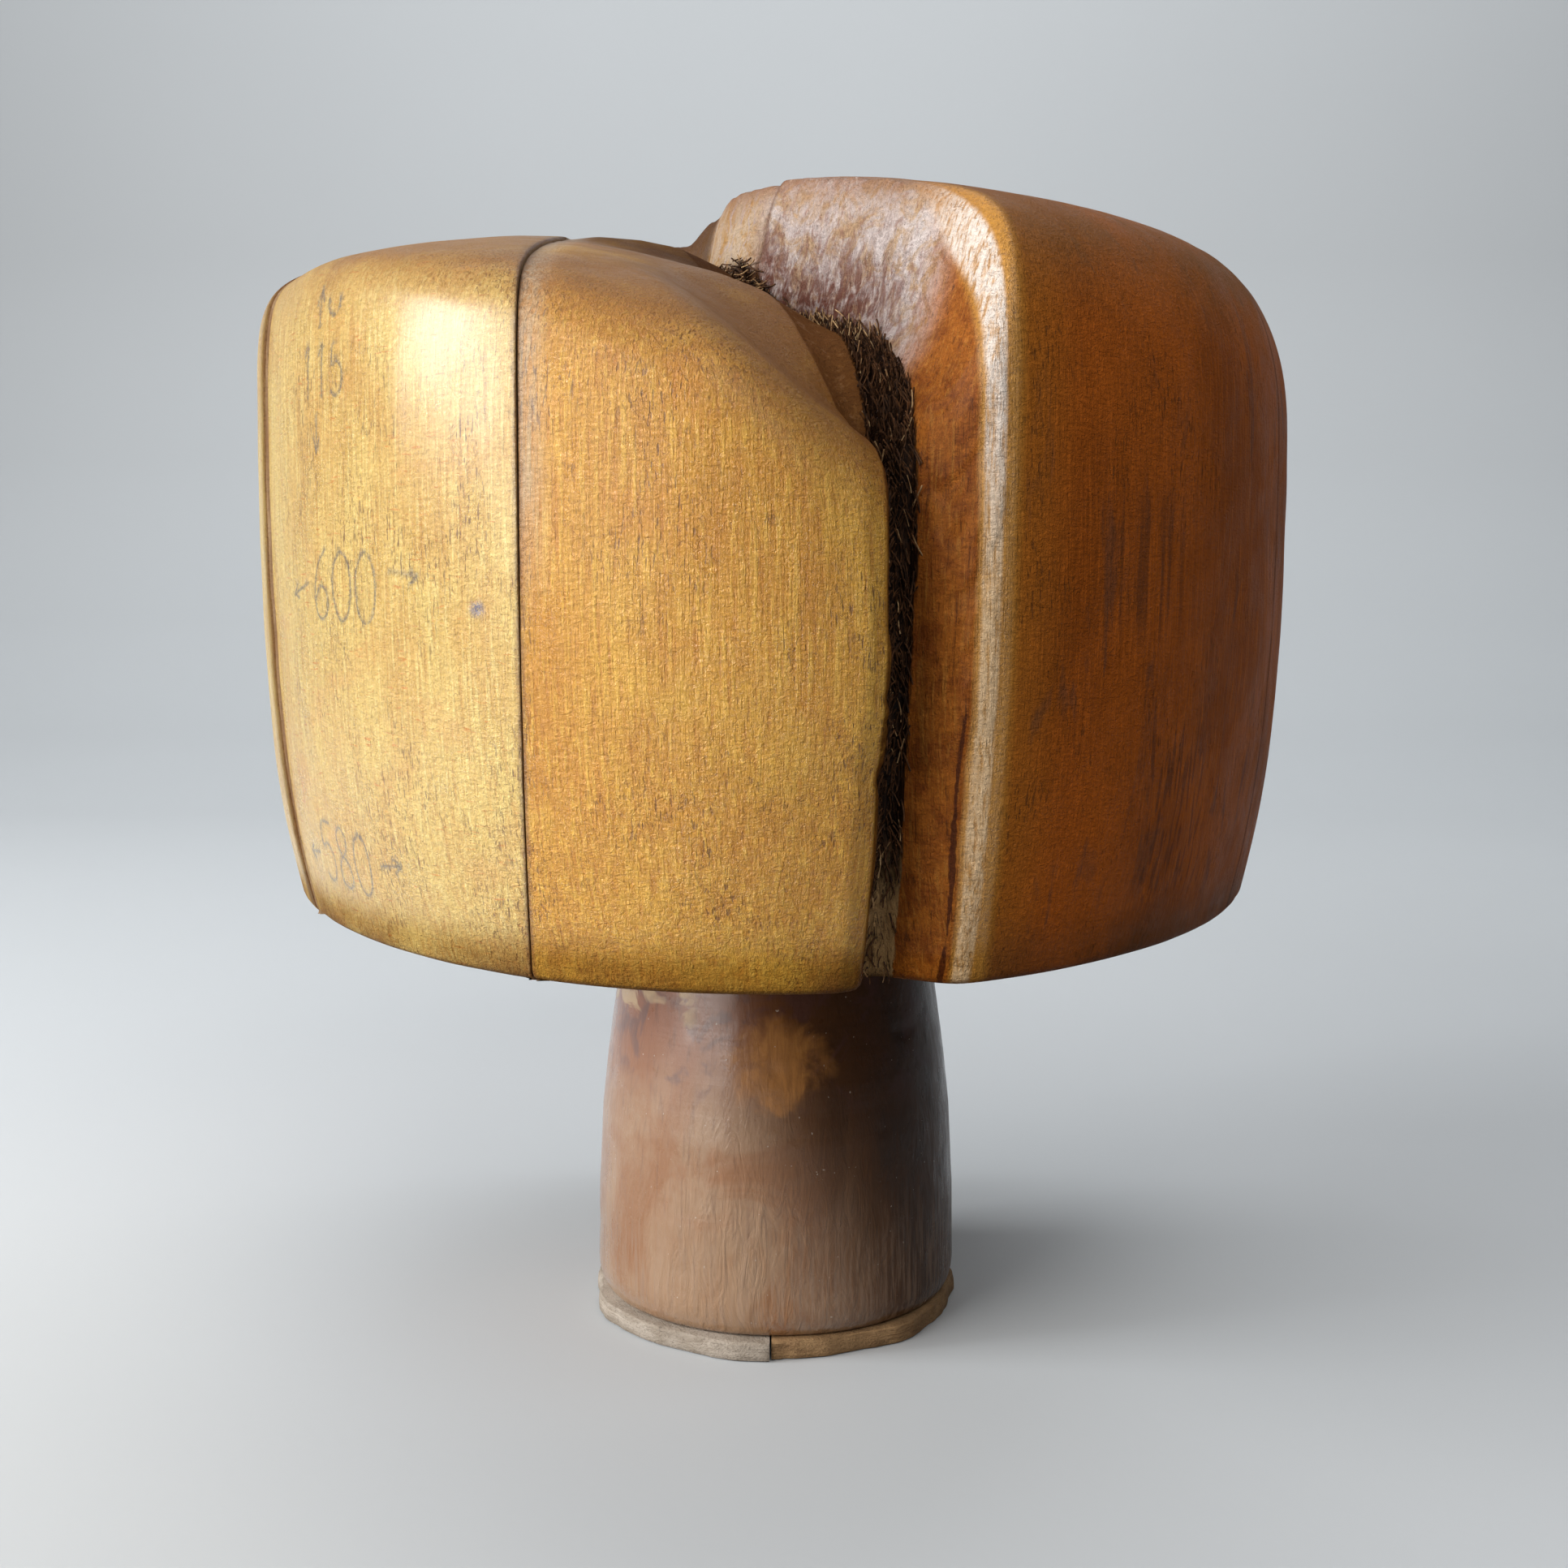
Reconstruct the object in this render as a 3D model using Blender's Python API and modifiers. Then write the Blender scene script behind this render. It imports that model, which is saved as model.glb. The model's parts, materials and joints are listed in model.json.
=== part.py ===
"""Hat block: a segmented wooden crown with a deep draping groove, on a turned post."""

import math

import bmesh
import bpy
import numpy as np
from mathutils.geometry import delaunay_2d_cdt

# Sizes are in millimetres up to the point where a mesh is made.
MM = 0.001

# Crown: half width, half length and how much the plan narrows towards the front.
HALF_WIDTH = 86.0
HALF_LENGTH = 103.2
EGG = 0.136
CROWN_FOOT = 74.4

# Side profile as (share of the plan size, height), from the top centre to the foot.
LEFT_PROFILE = [
    (0.0, 190.5), (0.28, 187.4), (0.52, 183.9), (0.728, 178.8), (0.885, 173.6),
    (0.977, 171.6), (1.001, 165.5), (1.004, 152.5), (1.006, 136.5), (1.003, 120.2),
    (0.995, 104.3), (0.979, 89.2), (0.94, CROWN_FOOT),
]
RIGHT_PROFILE = [
    (0.0, 190.5), (0.28, 187.4), (0.52, 184.0), (0.73, 180.2), (0.884, 176.2),
    (0.953, 169.4), (0.995, 159.4), (1.003, 148.1), (1.002, 134.9), (1.0, 120.3),
    (0.99, 105.0), (0.971, 89.5), (0.93, CROWN_FOOT),
]

# Upper edge of the groove's wall in plan, from in front of the crown to its left.
WALL_EDGE = [
    (27, -140), (27, -104), (26.3, -95), (24, -87), (20, -77), (15, -66), (9, -54),
    (3, -44), (-2.5, -34), (-7, -24.5), (-9.5, -14), (-10.5, -4), (-12.5, 6),
    (-18, 13), (-26, 14), (-34, 10.5), (-43, 5.5), (-54, 1), (-70, -3), (-95, -7), (-140, -12),
]
WALL_ENDS_AT = -58.0
WALL_FADES_FROM = -26.0
WALL_LEAN = 0.027
WALL_LEANS_BELOW = 150.0

# Low lobe: how far its top lies under the high lobe's dome, fading out at the left.
LOW_DROP = 6.8
LOW_FROM = -68.0
LOW_FULL = -16.0
LOW_EDGE = (-4.5, 3.5)
LOW_EDGE_ON_TOP = (-2.6, 2.2)
DROP_STARTS = (95.0, 150.0)

# The low lobe's front corner by the groove is rounded off further.
CORNER_DROP = 14.0
CORNER_EDGE = (4.0, 11.0)
CORNER_REACH = (11.0, 36.0)
CORNER_DEPTH = (58.0, 90.0)

# In front of the key, the low lobe's top falls away towards the groove's bend.
BEND_DROP = 8.2
BEND_ACROSS = (-38.0, 6.0)
BEND_DEPTH = (32.0, 48.0)

# Groove section: distance from the wall edge and depth, on the front and on top.
FRONT_SECTION = [
    (-4.0, 0.0), (-1.6, 0.4), (0.6, 1.9), (2.8, 5.2), (5.4, 8.6), (8.0, 10.6),
    (9.9, 9.8), (11.0, 4.6), (12.2, 1.3), (15.5, 0.0),
]
TOP_SECTION = [
    (-6.0, 0.0), (-2.6, 0.2), (-0.6, 1.0), (0.6, 3.4), (2.2, 6.0), (4.6, 6.0),
    (8.0, 3.8), (12.0, 1.6), (16.5, 0.4), (22.0, 0.0),
]
SECTION_TURNS = (45.0, 85.0)

# Seams between the segments, and the gap that every pair of touching pieces keeps.
KEY_HALF_WIDTH = 31.5
KEY_HALF_LENGTH = 36.0
GAP = 0.3
CUT_MARGIN = 10.0

# Post, turned to the key's width, as (radius, height) from its shoulder to its foot.
POST_INSET = 0.2
POST_RADIUS = KEY_HALF_WIDTH - POST_INSET
POST_PROFILE = [
    (POST_RADIUS - 7.1, 75.0), (POST_RADIUS - 6.3, 74.2), (POST_RADIUS - 4.7, 65.0),
    (POST_RADIUS - 3.1, 53.0), (POST_RADIUS - 2.0, 45.0), (POST_RADIUS - 0.9, 35.0),
    (POST_RADIUS - 0.2, 21.0), (POST_RADIUS, 8.0), (POST_RADIUS - 0.4, 5.2),
    (POST_RADIUS - 1.7, 3.3),
]

# Tenon on the post, and the pin across it.
TENON_RADIUS = 14.0
TENON_TOP = 116.0
TENON_CHAMFER = 1.0
PIN_RADIUS = 4.0
PIN_HEIGHT = CROWN_FOOT + 0.52 * (TENON_TOP - CROWN_FOOT)

# Foot pads.
PAD_THICKNESS = 3.0
PAD_RADIUS = POST_RADIUS - 0.1
PAD_SPLIT = -0.8
PAD_PROUD = 0.7

# Splines: loose tongues across the seams, each equally far from a corner of the key.
SPLINE_FROM_CORNER = 19.5
SPLINE_OFF_X = KEY_HALF_WIDTH - SPLINE_FROM_CORNER
SPLINE_OFF_Y = KEY_HALF_LENGTH - SPLINE_FROM_CORNER
CORNER_SPLINE_OFF = KEY_HALF_WIDTH + SPLINE_FROM_CORNER
SPLINE_THICKNESS = 4.0
SPLINE_REACH = 7.0
SPLINE_BOTTOM = 79.0
SPLINE_TOP = 150.0

COLOURS = {
    "light_maple": (0.62, 0.36, 0.10, 1.0),
    "golden_maple": (0.50, 0.24, 0.05, 1.0),
    "brown_post": (0.26, 0.12, 0.05, 1.0),
    "beech_spline": (0.55, 0.36, 0.18, 1.0),
    "grey_board": (0.36, 0.30, 0.24, 1.0),
    "ochre_board": (0.40, 0.25, 0.13, 1.0),
}


def clear_scene():
    for obj in list(bpy.data.objects):
        bpy.data.objects.remove(obj)


def collection(name, helper=False):
    made = bpy.data.collections.new(name)
    bpy.context.scene.collection.children.link(made)
    made.hide_render = helper
    return made


def material(name):
    made = bpy.data.materials.get(name) or bpy.data.materials.new(name)
    made.use_nodes = True
    shader = made.node_tree.nodes["Principled BSDF"]
    shader.inputs["Base Color"].default_value = COLOURS[name]
    shader.inputs["Roughness"].default_value = 0.45
    return made


def object_from(bm, name, group, colour=None, smooth=False):
    """Makes an object of a mesh that was drawn in millimetres."""
    bmesh.ops.scale(bm, vec=(MM, MM, MM), verts=bm.verts)
    bmesh.ops.recalc_face_normals(bm, faces=bm.faces)
    mesh = bpy.data.meshes.new(name)
    bm.to_mesh(mesh)
    bm.free()
    obj = bpy.data.objects.new(name, mesh)
    group.objects.link(obj)
    if colour:
        mesh.materials.append(material(colour))
    if smooth:
        mesh.shade_smooth()
    return obj


def box(name, group, low, high, colour=None):
    bm = bmesh.new()
    bmesh.ops.create_cube(bm, size=1.0)
    low, high = np.array(low), np.array(high)
    bmesh.ops.scale(bm, vec=high - low, verts=bm.verts)
    bmesh.ops.translate(bm, vec=(low + high) / 2, verts=bm.verts)
    return object_from(bm, name, group, colour)


def rod_along_x(name, group, radius, half_length, height, colour=None):
    bm = bmesh.new()
    bmesh.ops.create_cone(
        bm, cap_ends=True, segments=32, radius1=radius, radius2=radius, depth=2 * half_length
    )
    turn = ((0, 0, 1), (0, 1, 0), (-1, 0, 0))
    for vert in bm.verts:
        vert.co = [sum(row[i] * vert.co[i] for i in range(3)) for row in turn]
    bmesh.ops.translate(bm, vec=(0, 0, height), verts=bm.verts)
    return object_from(bm, name, group, colour, smooth=bool(colour))


def turned(name, group, profile, colour=None, steps=64):
    """A turned solid, from a profile that runs down its outer side at +X."""
    bm = bmesh.new()
    verts = [bm.verts.new((radius * MM, 0, height * MM)) for radius, height in profile]
    for upper, lower in zip(verts, verts[1:]):
        bm.edges.new((upper, lower))
    mesh = bpy.data.meshes.new(name)
    bm.to_mesh(mesh)
    bm.free()
    obj = bpy.data.objects.new(name, mesh)
    group.objects.link(obj)
    screw = obj.modifiers.new("Turn", "SCREW")
    screw.steps = steps
    screw.render_steps = steps
    screw.use_merge_vertices = True
    screw.merge_threshold = 0.0001
    screw.use_normal_calculate = False
    if colour:
        mesh.materials.append(material(colour))
    return obj


def boolean(obj, cutter, operation="DIFFERENCE"):
    cut = obj.modifiers.new(cutter.name, "BOOLEAN")
    cut.operation = operation
    cut.solver = "EXACT"
    cut.object = cutter


def smoothstep(value, start, end):
    share = np.clip((value - start) / (end - start), 0.0, 1.0)
    return share * share * (3 - 2 * share)


def spline_through(points, share):
    """A smooth curve over control points, mirrored at the first one and straight past the last."""
    points = np.array(points, float)
    before = points[1] * (-1, 1)
    after = 2 * points[-1] - points[-2]
    points = np.vstack([before, points, after])
    spans = len(points) - 3
    where = np.clip(share, 0, 1) * spans
    first = np.minimum(where.astype(int), spans - 1)
    u = (where - first)[..., None]
    a, b, c, d = (points[first + k] for k in range(4))
    blend_b = 3 * u**3 - 6 * u**2 + 4
    blend_c = -3 * u**3 + 3 * u**2 + 3 * u + 1
    return ((1 - u) ** 3 * a + blend_b * b + blend_c * c + u**3 * d) / 6


def blank_surface(angle, share):
    """The crown without its groove: angle in plan, share of the way from top centre to foot."""
    right = ((1 + np.cos(angle)) / 2)[..., None]
    left_part = spline_through(LEFT_PROFILE, share) * (1 - right)
    profile = left_part + spline_through(RIGHT_PROFILE, share) * right
    size, height = profile[..., 0], profile[..., 1]
    x = HALF_WIDTH * size * np.cos(angle) * (1 + EGG * np.sin(angle))
    y = HALF_LENGTH * size * np.sin(angle)
    return np.stack([x, y, height], -1)


def rounded_line(points, steps=6):
    points = np.array(points, float)
    line = [points[0]]
    for p0, p1, p2, p3 in zip(points, points[1:], points[2:], points[3:]):
        for u in np.arange(steps) / steps:
            bend = (2 * p0 - 5 * p1 + 4 * p2 - p3) * u**2 + (3 * p1 - p0 - 3 * p2 + p3) * u**3
            line.append(0.5 * (2 * p1 + (p2 - p0) * u + bend))
    return np.array([*line, points[-2], points[-1]])


WALL_LINE = rounded_line(WALL_EDGE)


def from_wall(x, y, height):
    """(distance, length): distance from the wall edge, positive on the low lobe, and length along it."""
    nearest = np.full(x.shape, 1e9)
    side = np.ones(x.shape)
    along = np.zeros(x.shape)
    start = 0.0
    for (px, py), (qx, qy) in zip(WALL_LINE, WALL_LINE[1:]):
        dx, dy = qx - px, qy - py
        length = math.hypot(dx, dy)
        t = np.clip(((x - px) * dx + (y - py) * dy) / length**2, 0, 1)
        distance = np.hypot(x - px - t * dx, y - py - t * dy)
        closer = distance < nearest
        nearest = np.where(closer, distance, nearest)
        left = dx * (y - py) - dy * (x - px) > 0
        side = np.where(closer, np.where(left, 1.0, -1.0), side)
        along = np.where(closer, start + t * length, along)
        start += length
    lean = WALL_LEAN * np.clip(WALL_LEANS_BELOW - height, 0, None)
    return nearest * side - lean, along


def section_at(along):
    """The groove's section, part way from the one on the front to the one on top."""
    top = smoothstep(along, *SECTION_TURNS)[..., None]
    distances = [pair[0] for pair in FRONT_SECTION] * (1 - top) + [p[0] for p in TOP_SECTION] * top
    depths = [pair[1] for pair in FRONT_SECTION] * (1 - top) + [p[1] for p in TOP_SECTION] * top
    return distances, depths


def crown_surface(angle, share):
    """The carved crown."""
    point = blank_surface(angle, share)
    x, y, height = np.moveaxis(point, -1, 0)
    step = 1e-4
    across = blank_surface(angle + step, share) - point
    down = blank_surface(angle, np.minimum(share + step, 1)) - blank_surface(
        angle, np.minimum(share, 1 - step)
    )
    normal = np.cross(down, across)
    normal /= np.maximum(np.linalg.norm(normal, axis=-1, keepdims=True), 1e-12)
    normal[..., 2] *= 1 - smoothstep(share, 0.42, 0.62)
    distance, along = from_wall(x, y, height)
    distances, depths = section_at(along)
    depth = np.zeros(x.shape)
    for k in range(len(FRONT_SECTION) - 1):
        span = distances[..., k + 1] - distances[..., k]
        part = np.clip((distance - distances[..., k]) / span, 0, 1)
        depth += part * (depths[..., k + 1] - depths[..., k])
    depth *= smoothstep(x, WALL_ENDS_AT, WALL_FADES_FROM)
    on_top = smoothstep(along, *SECTION_TURNS)
    slope = smoothstep(distance, *LOW_EDGE) * (1 - on_top)
    slope += smoothstep(distance, *LOW_EDGE_ON_TOP) * on_top
    drop = LOW_DROP * smoothstep(x, LOW_FROM, LOW_FULL) * slope
    corner = smoothstep(distance, *CORNER_EDGE) - smoothstep(distance, *CORNER_REACH)
    drop += CORNER_DROP * corner * smoothstep(-y, *CORNER_DEPTH)
    drop += BEND_DROP * smoothstep(x, *BEND_ACROSS) * smoothstep(-y, *BEND_DEPTH) * slope
    point = point - normal * depth[..., None]
    point[..., 2] -= drop * smoothstep(height, *DROP_STARTS)
    return point


def flat_place(angle, share):
    """A place on the flat sheet that the crown's outside unrolls to."""
    return np.stack([share * np.cos(angle), share * np.sin(angle)], -1)


def sheet_from_plan(x, y):
    """(angle, share) of the places on top of the crown with these plan coordinates."""
    angle = np.arctan2(y, x)
    shares = np.linspace(0, 0.46, 60)
    for _ in range(8):
        angle = np.arctan2(y / HALF_LENGTH, x / (HALF_WIDTH * (1 + EGG * np.sin(angle))))
    wide = HALF_WIDTH * (1 + EGG * np.sin(angle))
    size = np.hypot(x / wide, y / HALF_LENGTH)
    share = np.empty(len(x))
    for i in range(len(x)):
        ring = blank_surface(np.full(60, angle[i]), shares)
        sizes = np.hypot(ring[:, 0] / wide[i], ring[:, 1] / HALF_LENGTH)
        share[i] = np.interp(size[i], sizes, shares)
    return angle, share


def groove_lines(front_step, top_step):
    """Lines along the groove on the flat sheet, one for each corner of its section."""
    shares = np.linspace(1.0, 0.34, round(116 / front_step))
    angles = np.linspace(-0.75 * math.pi, -0.22 * math.pi, 400)
    lengths = np.concatenate([[0], np.cumsum(np.linalg.norm(np.diff(WALL_LINE, axis=0), axis=1))])
    stations = np.arange(62.0, 200.0, top_step)
    lines = []
    for k in range(len(FRONT_SECTION)):
        line = []
        for share in shares:
            ring = blank_surface(angles, np.full(400, share))
            distance, along = from_wall(*ring.T)
            wanted = section_at(along)[0][:, k]
            off = distance - wanted
            angle = np.interp(0, -off, angles)
            line.append((angle, share))
        y_end = blank_surface(np.array([line[-1][0]]), np.array([line[-1][1]]))[0, 1]
        px = np.interp(stations, lengths, WALL_LINE[:, 0])
        py = np.interp(stations, lengths, WALL_LINE[:, 1])
        qx = np.interp(stations + 0.5, lengths, WALL_LINE[:, 0])
        qy = np.interp(stations + 0.5, lengths, WALL_LINE[:, 1])
        tangent = np.stack([qx - px, qy - py], -1)
        tangent /= np.linalg.norm(tangent, axis=1, keepdims=True)
        wanted = section_at(stations)[0][:, k]
        x = px - tangent[:, 1] * wanted
        y = py + tangent[:, 0] * wanted
        true = from_wall(x, y, np.full(len(x), 200.0))[0]
        keep = (abs(true - wanted) < 0.15) & (y > y_end + 0.6 * top_step) & (x > WALL_ENDS_AT)
        angle, share = sheet_from_plan(x[keep], y[keep])
        line.extend(zip(angle, share))
        lines.append(np.array(line))
    return lines


# The mesh: distance between points along and beside the groove, points round the foot, rings.
FRONT_STEP = 7.5
TOP_STEP = 4.0
CLEAR_OF_GROOVE = 3.0
FOOT_POINTS = 72
RING_SHARES = (
    0.0, 0.07, 0.14, 0.21, 0.28, 0.335, 0.38, 0.415, 0.45, 0.49, 0.54, 0.61, 0.7, 0.8, 0.9,
)


def crown_sheet():
    """Points and triangles of the flat sheet: rings all round, and closer lines along the groove."""
    lines = groove_lines(FRONT_STEP, TOP_STEP)
    places, edges = [], []
    for line in lines:
        first = len(places)
        places.extend(flat_place(line[:, 0], line[:, 1]))
        edges.extend((first + i, first + i + 1) for i in range(len(line) - 1))
    foot_angles = [line[0][0] for line in lines]
    for angle in np.arange(FOOT_POINTS) * 2 * math.pi / FOOT_POINTS - math.pi:
        if min(foot_angles) - 0.05 < angle < max(foot_angles) + 0.05:
            continue
        places.append(flat_place(np.array(angle), np.array(1.0)))
    for share in RING_SHARES:
        count = max(1, round(FOOT_POINTS * min(1.0, 1.5 * share - 0.002 + share**3)))
        angles = (np.arange(count) + 0.5) * 2 * math.pi / count - math.pi
        ring = blank_surface(angles, np.full(count, share))
        distance, along = from_wall(*ring.T)
        distances = section_at(along)[0]
        near = distance > distances[:, 0] - CLEAR_OF_GROOVE
        near &= distance < distances[:, -1] + CLEAR_OF_GROOVE
        near &= ring[:, 0] > WALL_ENDS_AT - 2
        near &= ring[:, 1] < 30
        places.extend(flat_place(angles[~near], np.full((~near).sum(), share)))
    made = delaunay_2d_cdt([tuple(p) for p in places], edges, [], 0, 1e-5)
    flat = np.array([tuple(p) for p in made[0]])
    return flat, np.array([tuple(f) for f in made[2]])


def crown_solid(group):
    flat, faces = crown_sheet()
    angle = np.arctan2(flat[:, 1], flat[:, 0])
    share = np.minimum(np.hypot(flat[:, 0], flat[:, 1]), 1.0)
    share[share > 0.9995] = 1.0
    points = crown_surface(angle, share)
    points[share == 1.0, 2] = CROWN_FOOT
    bm = bmesh.new()
    verts = [bm.verts.new(point) for point in points]
    for face in faces:
        bm.faces.new([verts[i] for i in face])
    rim = [edge for edge in bm.edges if edge.is_boundary]
    bmesh.ops.triangle_fill(bm, edges=rim, use_beauty=True)
    return object_from(bm, "crown_blank", group)


def segment(name, group, helpers, crown, low, high, colour):
    """One segment: the crown's mesh, kept inside a box."""
    obj = bpy.data.objects.new(name, crown.data.copy())
    group.objects.link(obj)
    obj.data.materials.append(material(colour))
    keep = box(f"{name}_cell", helpers, low, high)
    boolean(obj, keep, "INTERSECT")
    return obj


def spline_and_slots(name, group, helpers, seam, place, across_x, holder, slider):
    """A tongue over a seam: glued in a pocket of one piece, in an open groove of the other."""

    def block(label, half, reach_in, reach_out, bottom, top, colour=None, into=helpers):
        sign = 1 if seam > 0 else -1
        ends = sorted((seam - sign * reach_in, seam + sign * reach_out))
        sides = (place - half, place + half)
        xs, ys = (ends, sides) if across_x else (sides, ends)
        low = (xs[0], ys[0], bottom)
        high = (xs[1], ys[1], top)
        return box(label, into, low, high, colour)

    half = SPLINE_THICKNESS / 2
    reach = SPLINE_REACH
    block(name, half, reach, reach, SPLINE_BOTTOM, SPLINE_TOP, "beech_spline", group)
    wide = half + GAP
    pocket = block(
        f"{name}_pocket", wide, reach + GAP, 3, SPLINE_BOTTOM - GAP, SPLINE_TOP + GAP
    )
    groove = block(f"{name}_groove", wide, 3, reach + GAP, CROWN_FOOT - CUT_MARGIN, SPLINE_TOP + GAP)
    boolean(holder, pocket)
    boolean(slider, groove)


def foot_pad(name, group, left, colour):
    """Half of the thin board under the post, cut a little uneven."""
    rim = PAD_RADIUS + (PAD_PROUD if left else 0.0)
    start = math.pi / 2 if left else -math.pi / 2
    outline = []
    for i in range(25):
        angle = start + math.pi * i / 24
        radius = rim + 0.35 * math.sin(7 * angle + 1) + 0.25 * math.sin(13 * angle)
        outline.append([radius * math.cos(angle), radius * math.sin(angle)])
    shift = PAD_SPLIT - GAP / 2 if left else PAD_SPLIT + GAP / 2
    outline[0][0] = outline[-1][0] = shift
    bm = bmesh.new()
    face = bm.faces.new([bm.verts.new((x, y, 0)) for x, y in outline])
    raised = bmesh.ops.extrude_face_region(bm, geom=[face])["geom"]
    tops = [item for item in raised if isinstance(item, bmesh.types.BMVert)]
    bmesh.ops.translate(bm, vec=(0, 0, PAD_THICKNESS), verts=tops)
    return object_from(bm, name, group, colour)


def main():
    clear_scene()
    group = collection("hat_block")
    helpers = collection("cutters", helper=True)

    gap = GAP / 2
    far = HALF_LENGTH + 3 * CUT_MARGIN
    under, over = CROWN_FOOT - CUT_MARGIN, RIGHT_PROFILE[0][1] + 3 * CUT_MARGIN
    near_x, past_x = KEY_HALF_WIDTH - gap, KEY_HALF_WIDTH + gap
    near_y, past_y = KEY_HALF_LENGTH - gap, KEY_HALF_LENGTH + gap
    cells = {
        "key": ((-near_x, -near_y), (near_x, near_y), "golden_maple"),
        "front_piece": ((-near_x, -far), (far, -past_y), "golden_maple"),
        "front_left_corner": ((-far, -far), (-past_x, -past_y), "light_maple"),
        "left_side": ((-far, -near_y), (-past_x, near_y), "light_maple"),
        "right_side": ((past_x, -near_y), (far, near_y), "golden_maple"),
        "back_piece": ((-far, past_y), (near_x, far), "golden_maple"),
        "back_right_corner": ((past_x, past_y), (far, far), "light_maple"),
    }
    crown = crown_solid(helpers)
    pieces = {}
    for name, (low, high, colour) in cells.items():
        pieces[name] = segment(name, group, helpers, crown, (*low, under), (*high, over), colour)

    key = pieces["key"]
    for name, seam, place, across_x, holder, slider in (
        ("front_spline", -KEY_HALF_LENGTH, -SPLINE_OFF_X, False, "key", "front_piece"),
        ("back_spline", KEY_HALF_LENGTH, SPLINE_OFF_X, False, "key", "back_piece"),
        ("left_spline", -KEY_HALF_WIDTH, SPLINE_OFF_Y, True, "key", "left_side"),
        ("right_spline", KEY_HALF_WIDTH, -SPLINE_OFF_Y, True, "key", "right_side"),
        (
            "left_corner_spline", -KEY_HALF_LENGTH, -CORNER_SPLINE_OFF, False,
            "left_side", "front_left_corner",
        ),
        (
            "right_corner_spline", KEY_HALF_LENGTH, CORNER_SPLINE_OFF, False,
            "right_side", "back_right_corner",
        ),
    ):
        spline_and_slots(
            name, group, helpers, seam, place, across_x, pieces[holder], pieces[slider]
        )

    shoulder = CROWN_FOOT - GAP
    outline = [(radius, min(height, shoulder)) for radius, height in POST_PROFILE]
    tenon = [
        (0, TENON_TOP), (TENON_RADIUS - TENON_CHAMFER, TENON_TOP),
        (TENON_RADIUS, TENON_TOP - TENON_CHAMFER),
    ]
    post = turned(
        "post", group, [*tenon, (TENON_RADIUS, shoulder), *outline, (0, outline[-1][1])],
        "brown_post",
    )
    bore = TENON_RADIUS + GAP
    mortise = [(0, TENON_TOP + GAP), (bore, TENON_TOP + GAP), (bore, under), (0, under)]
    boolean(key, turned("mortise", helpers, mortise))
    rod_along_x(
        "tenon_pin", group, PIN_RADIUS, KEY_HALF_WIDTH - 0.5, PIN_HEIGHT, "beech_spline"
    )
    hole = rod_along_x("pin_hole", helpers, PIN_RADIUS + GAP, KEY_HALF_WIDTH + CUT_MARGIN / 2, PIN_HEIGHT)
    boolean(key, hole)
    boolean(post, hole)

    foot_pad("foot_pad_left", group, True, "grey_board")
    foot_pad("foot_pad_right", group, False, "ochre_board")

    for cutter in helpers.objects:
        cutter.hide_render = True
        cutter.display_type = "WIRE"


main()
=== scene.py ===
"""Hat block: the looks of a segmented, carved wooden crown with a torn groove, on a turned post."""

import json
import math

import bmesh
import bpy
import numpy as np
from bpy.props import FloatProperty, FloatVectorProperty, IntProperty, PointerProperty
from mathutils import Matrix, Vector
from mathutils.geometry import delaunay_2d_cdt

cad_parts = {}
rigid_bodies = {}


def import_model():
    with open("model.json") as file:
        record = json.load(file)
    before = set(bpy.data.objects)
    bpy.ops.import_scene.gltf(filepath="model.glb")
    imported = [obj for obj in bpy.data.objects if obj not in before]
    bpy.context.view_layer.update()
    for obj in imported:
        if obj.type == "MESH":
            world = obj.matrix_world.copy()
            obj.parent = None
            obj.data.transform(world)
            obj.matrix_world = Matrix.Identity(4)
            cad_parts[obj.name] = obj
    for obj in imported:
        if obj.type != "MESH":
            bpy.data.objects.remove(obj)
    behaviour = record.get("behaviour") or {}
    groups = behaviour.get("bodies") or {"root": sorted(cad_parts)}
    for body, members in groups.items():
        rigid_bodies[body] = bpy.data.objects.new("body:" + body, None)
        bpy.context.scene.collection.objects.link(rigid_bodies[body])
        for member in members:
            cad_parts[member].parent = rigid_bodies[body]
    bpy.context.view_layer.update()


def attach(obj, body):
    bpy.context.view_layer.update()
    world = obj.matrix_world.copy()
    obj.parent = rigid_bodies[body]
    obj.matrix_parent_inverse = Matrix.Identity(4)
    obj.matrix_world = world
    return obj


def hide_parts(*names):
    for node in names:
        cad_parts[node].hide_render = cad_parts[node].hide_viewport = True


bl_info = {
    "name": "Hat block",
    "version": (1, 0, 0),
    "blender": (4, 5, 0),
    "location": "View3D > Sidebar > Hat block",
    "description": "Builds a carved hat block around its packed frame",
    "category": "Object",
}

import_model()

# Sizes are in millimetres up to the point where a mesh is made.
MM = 0.001

# Crown: half width, half length and how much the plan narrows towards the front.
HALF_WIDTH = 86.0
HALF_LENGTH = 103.2
EGG = 0.136
CROWN_FOOT = 74.4

# Side profile as (share of the plan size, height), from the top centre to the foot.
LEFT_PROFILE = [
    (0.0, 190.5), (0.28, 187.4), (0.52, 183.9), (0.728, 178.8), (0.885, 173.6),
    (0.977, 171.6), (1.001, 165.5), (1.004, 152.5), (1.006, 136.5), (1.003, 120.2),
    (0.995, 104.3), (0.979, 89.2), (0.94, CROWN_FOOT),
]
RIGHT_PROFILE = [
    (0.0, 190.5), (0.28, 187.4), (0.52, 184.0), (0.73, 180.2), (0.884, 176.2),
    (0.953, 169.4), (0.995, 159.4), (1.003, 148.1), (1.002, 134.9), (1.0, 120.3),
    (0.99, 105.0), (0.971, 89.5), (0.93, CROWN_FOOT),
]

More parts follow.
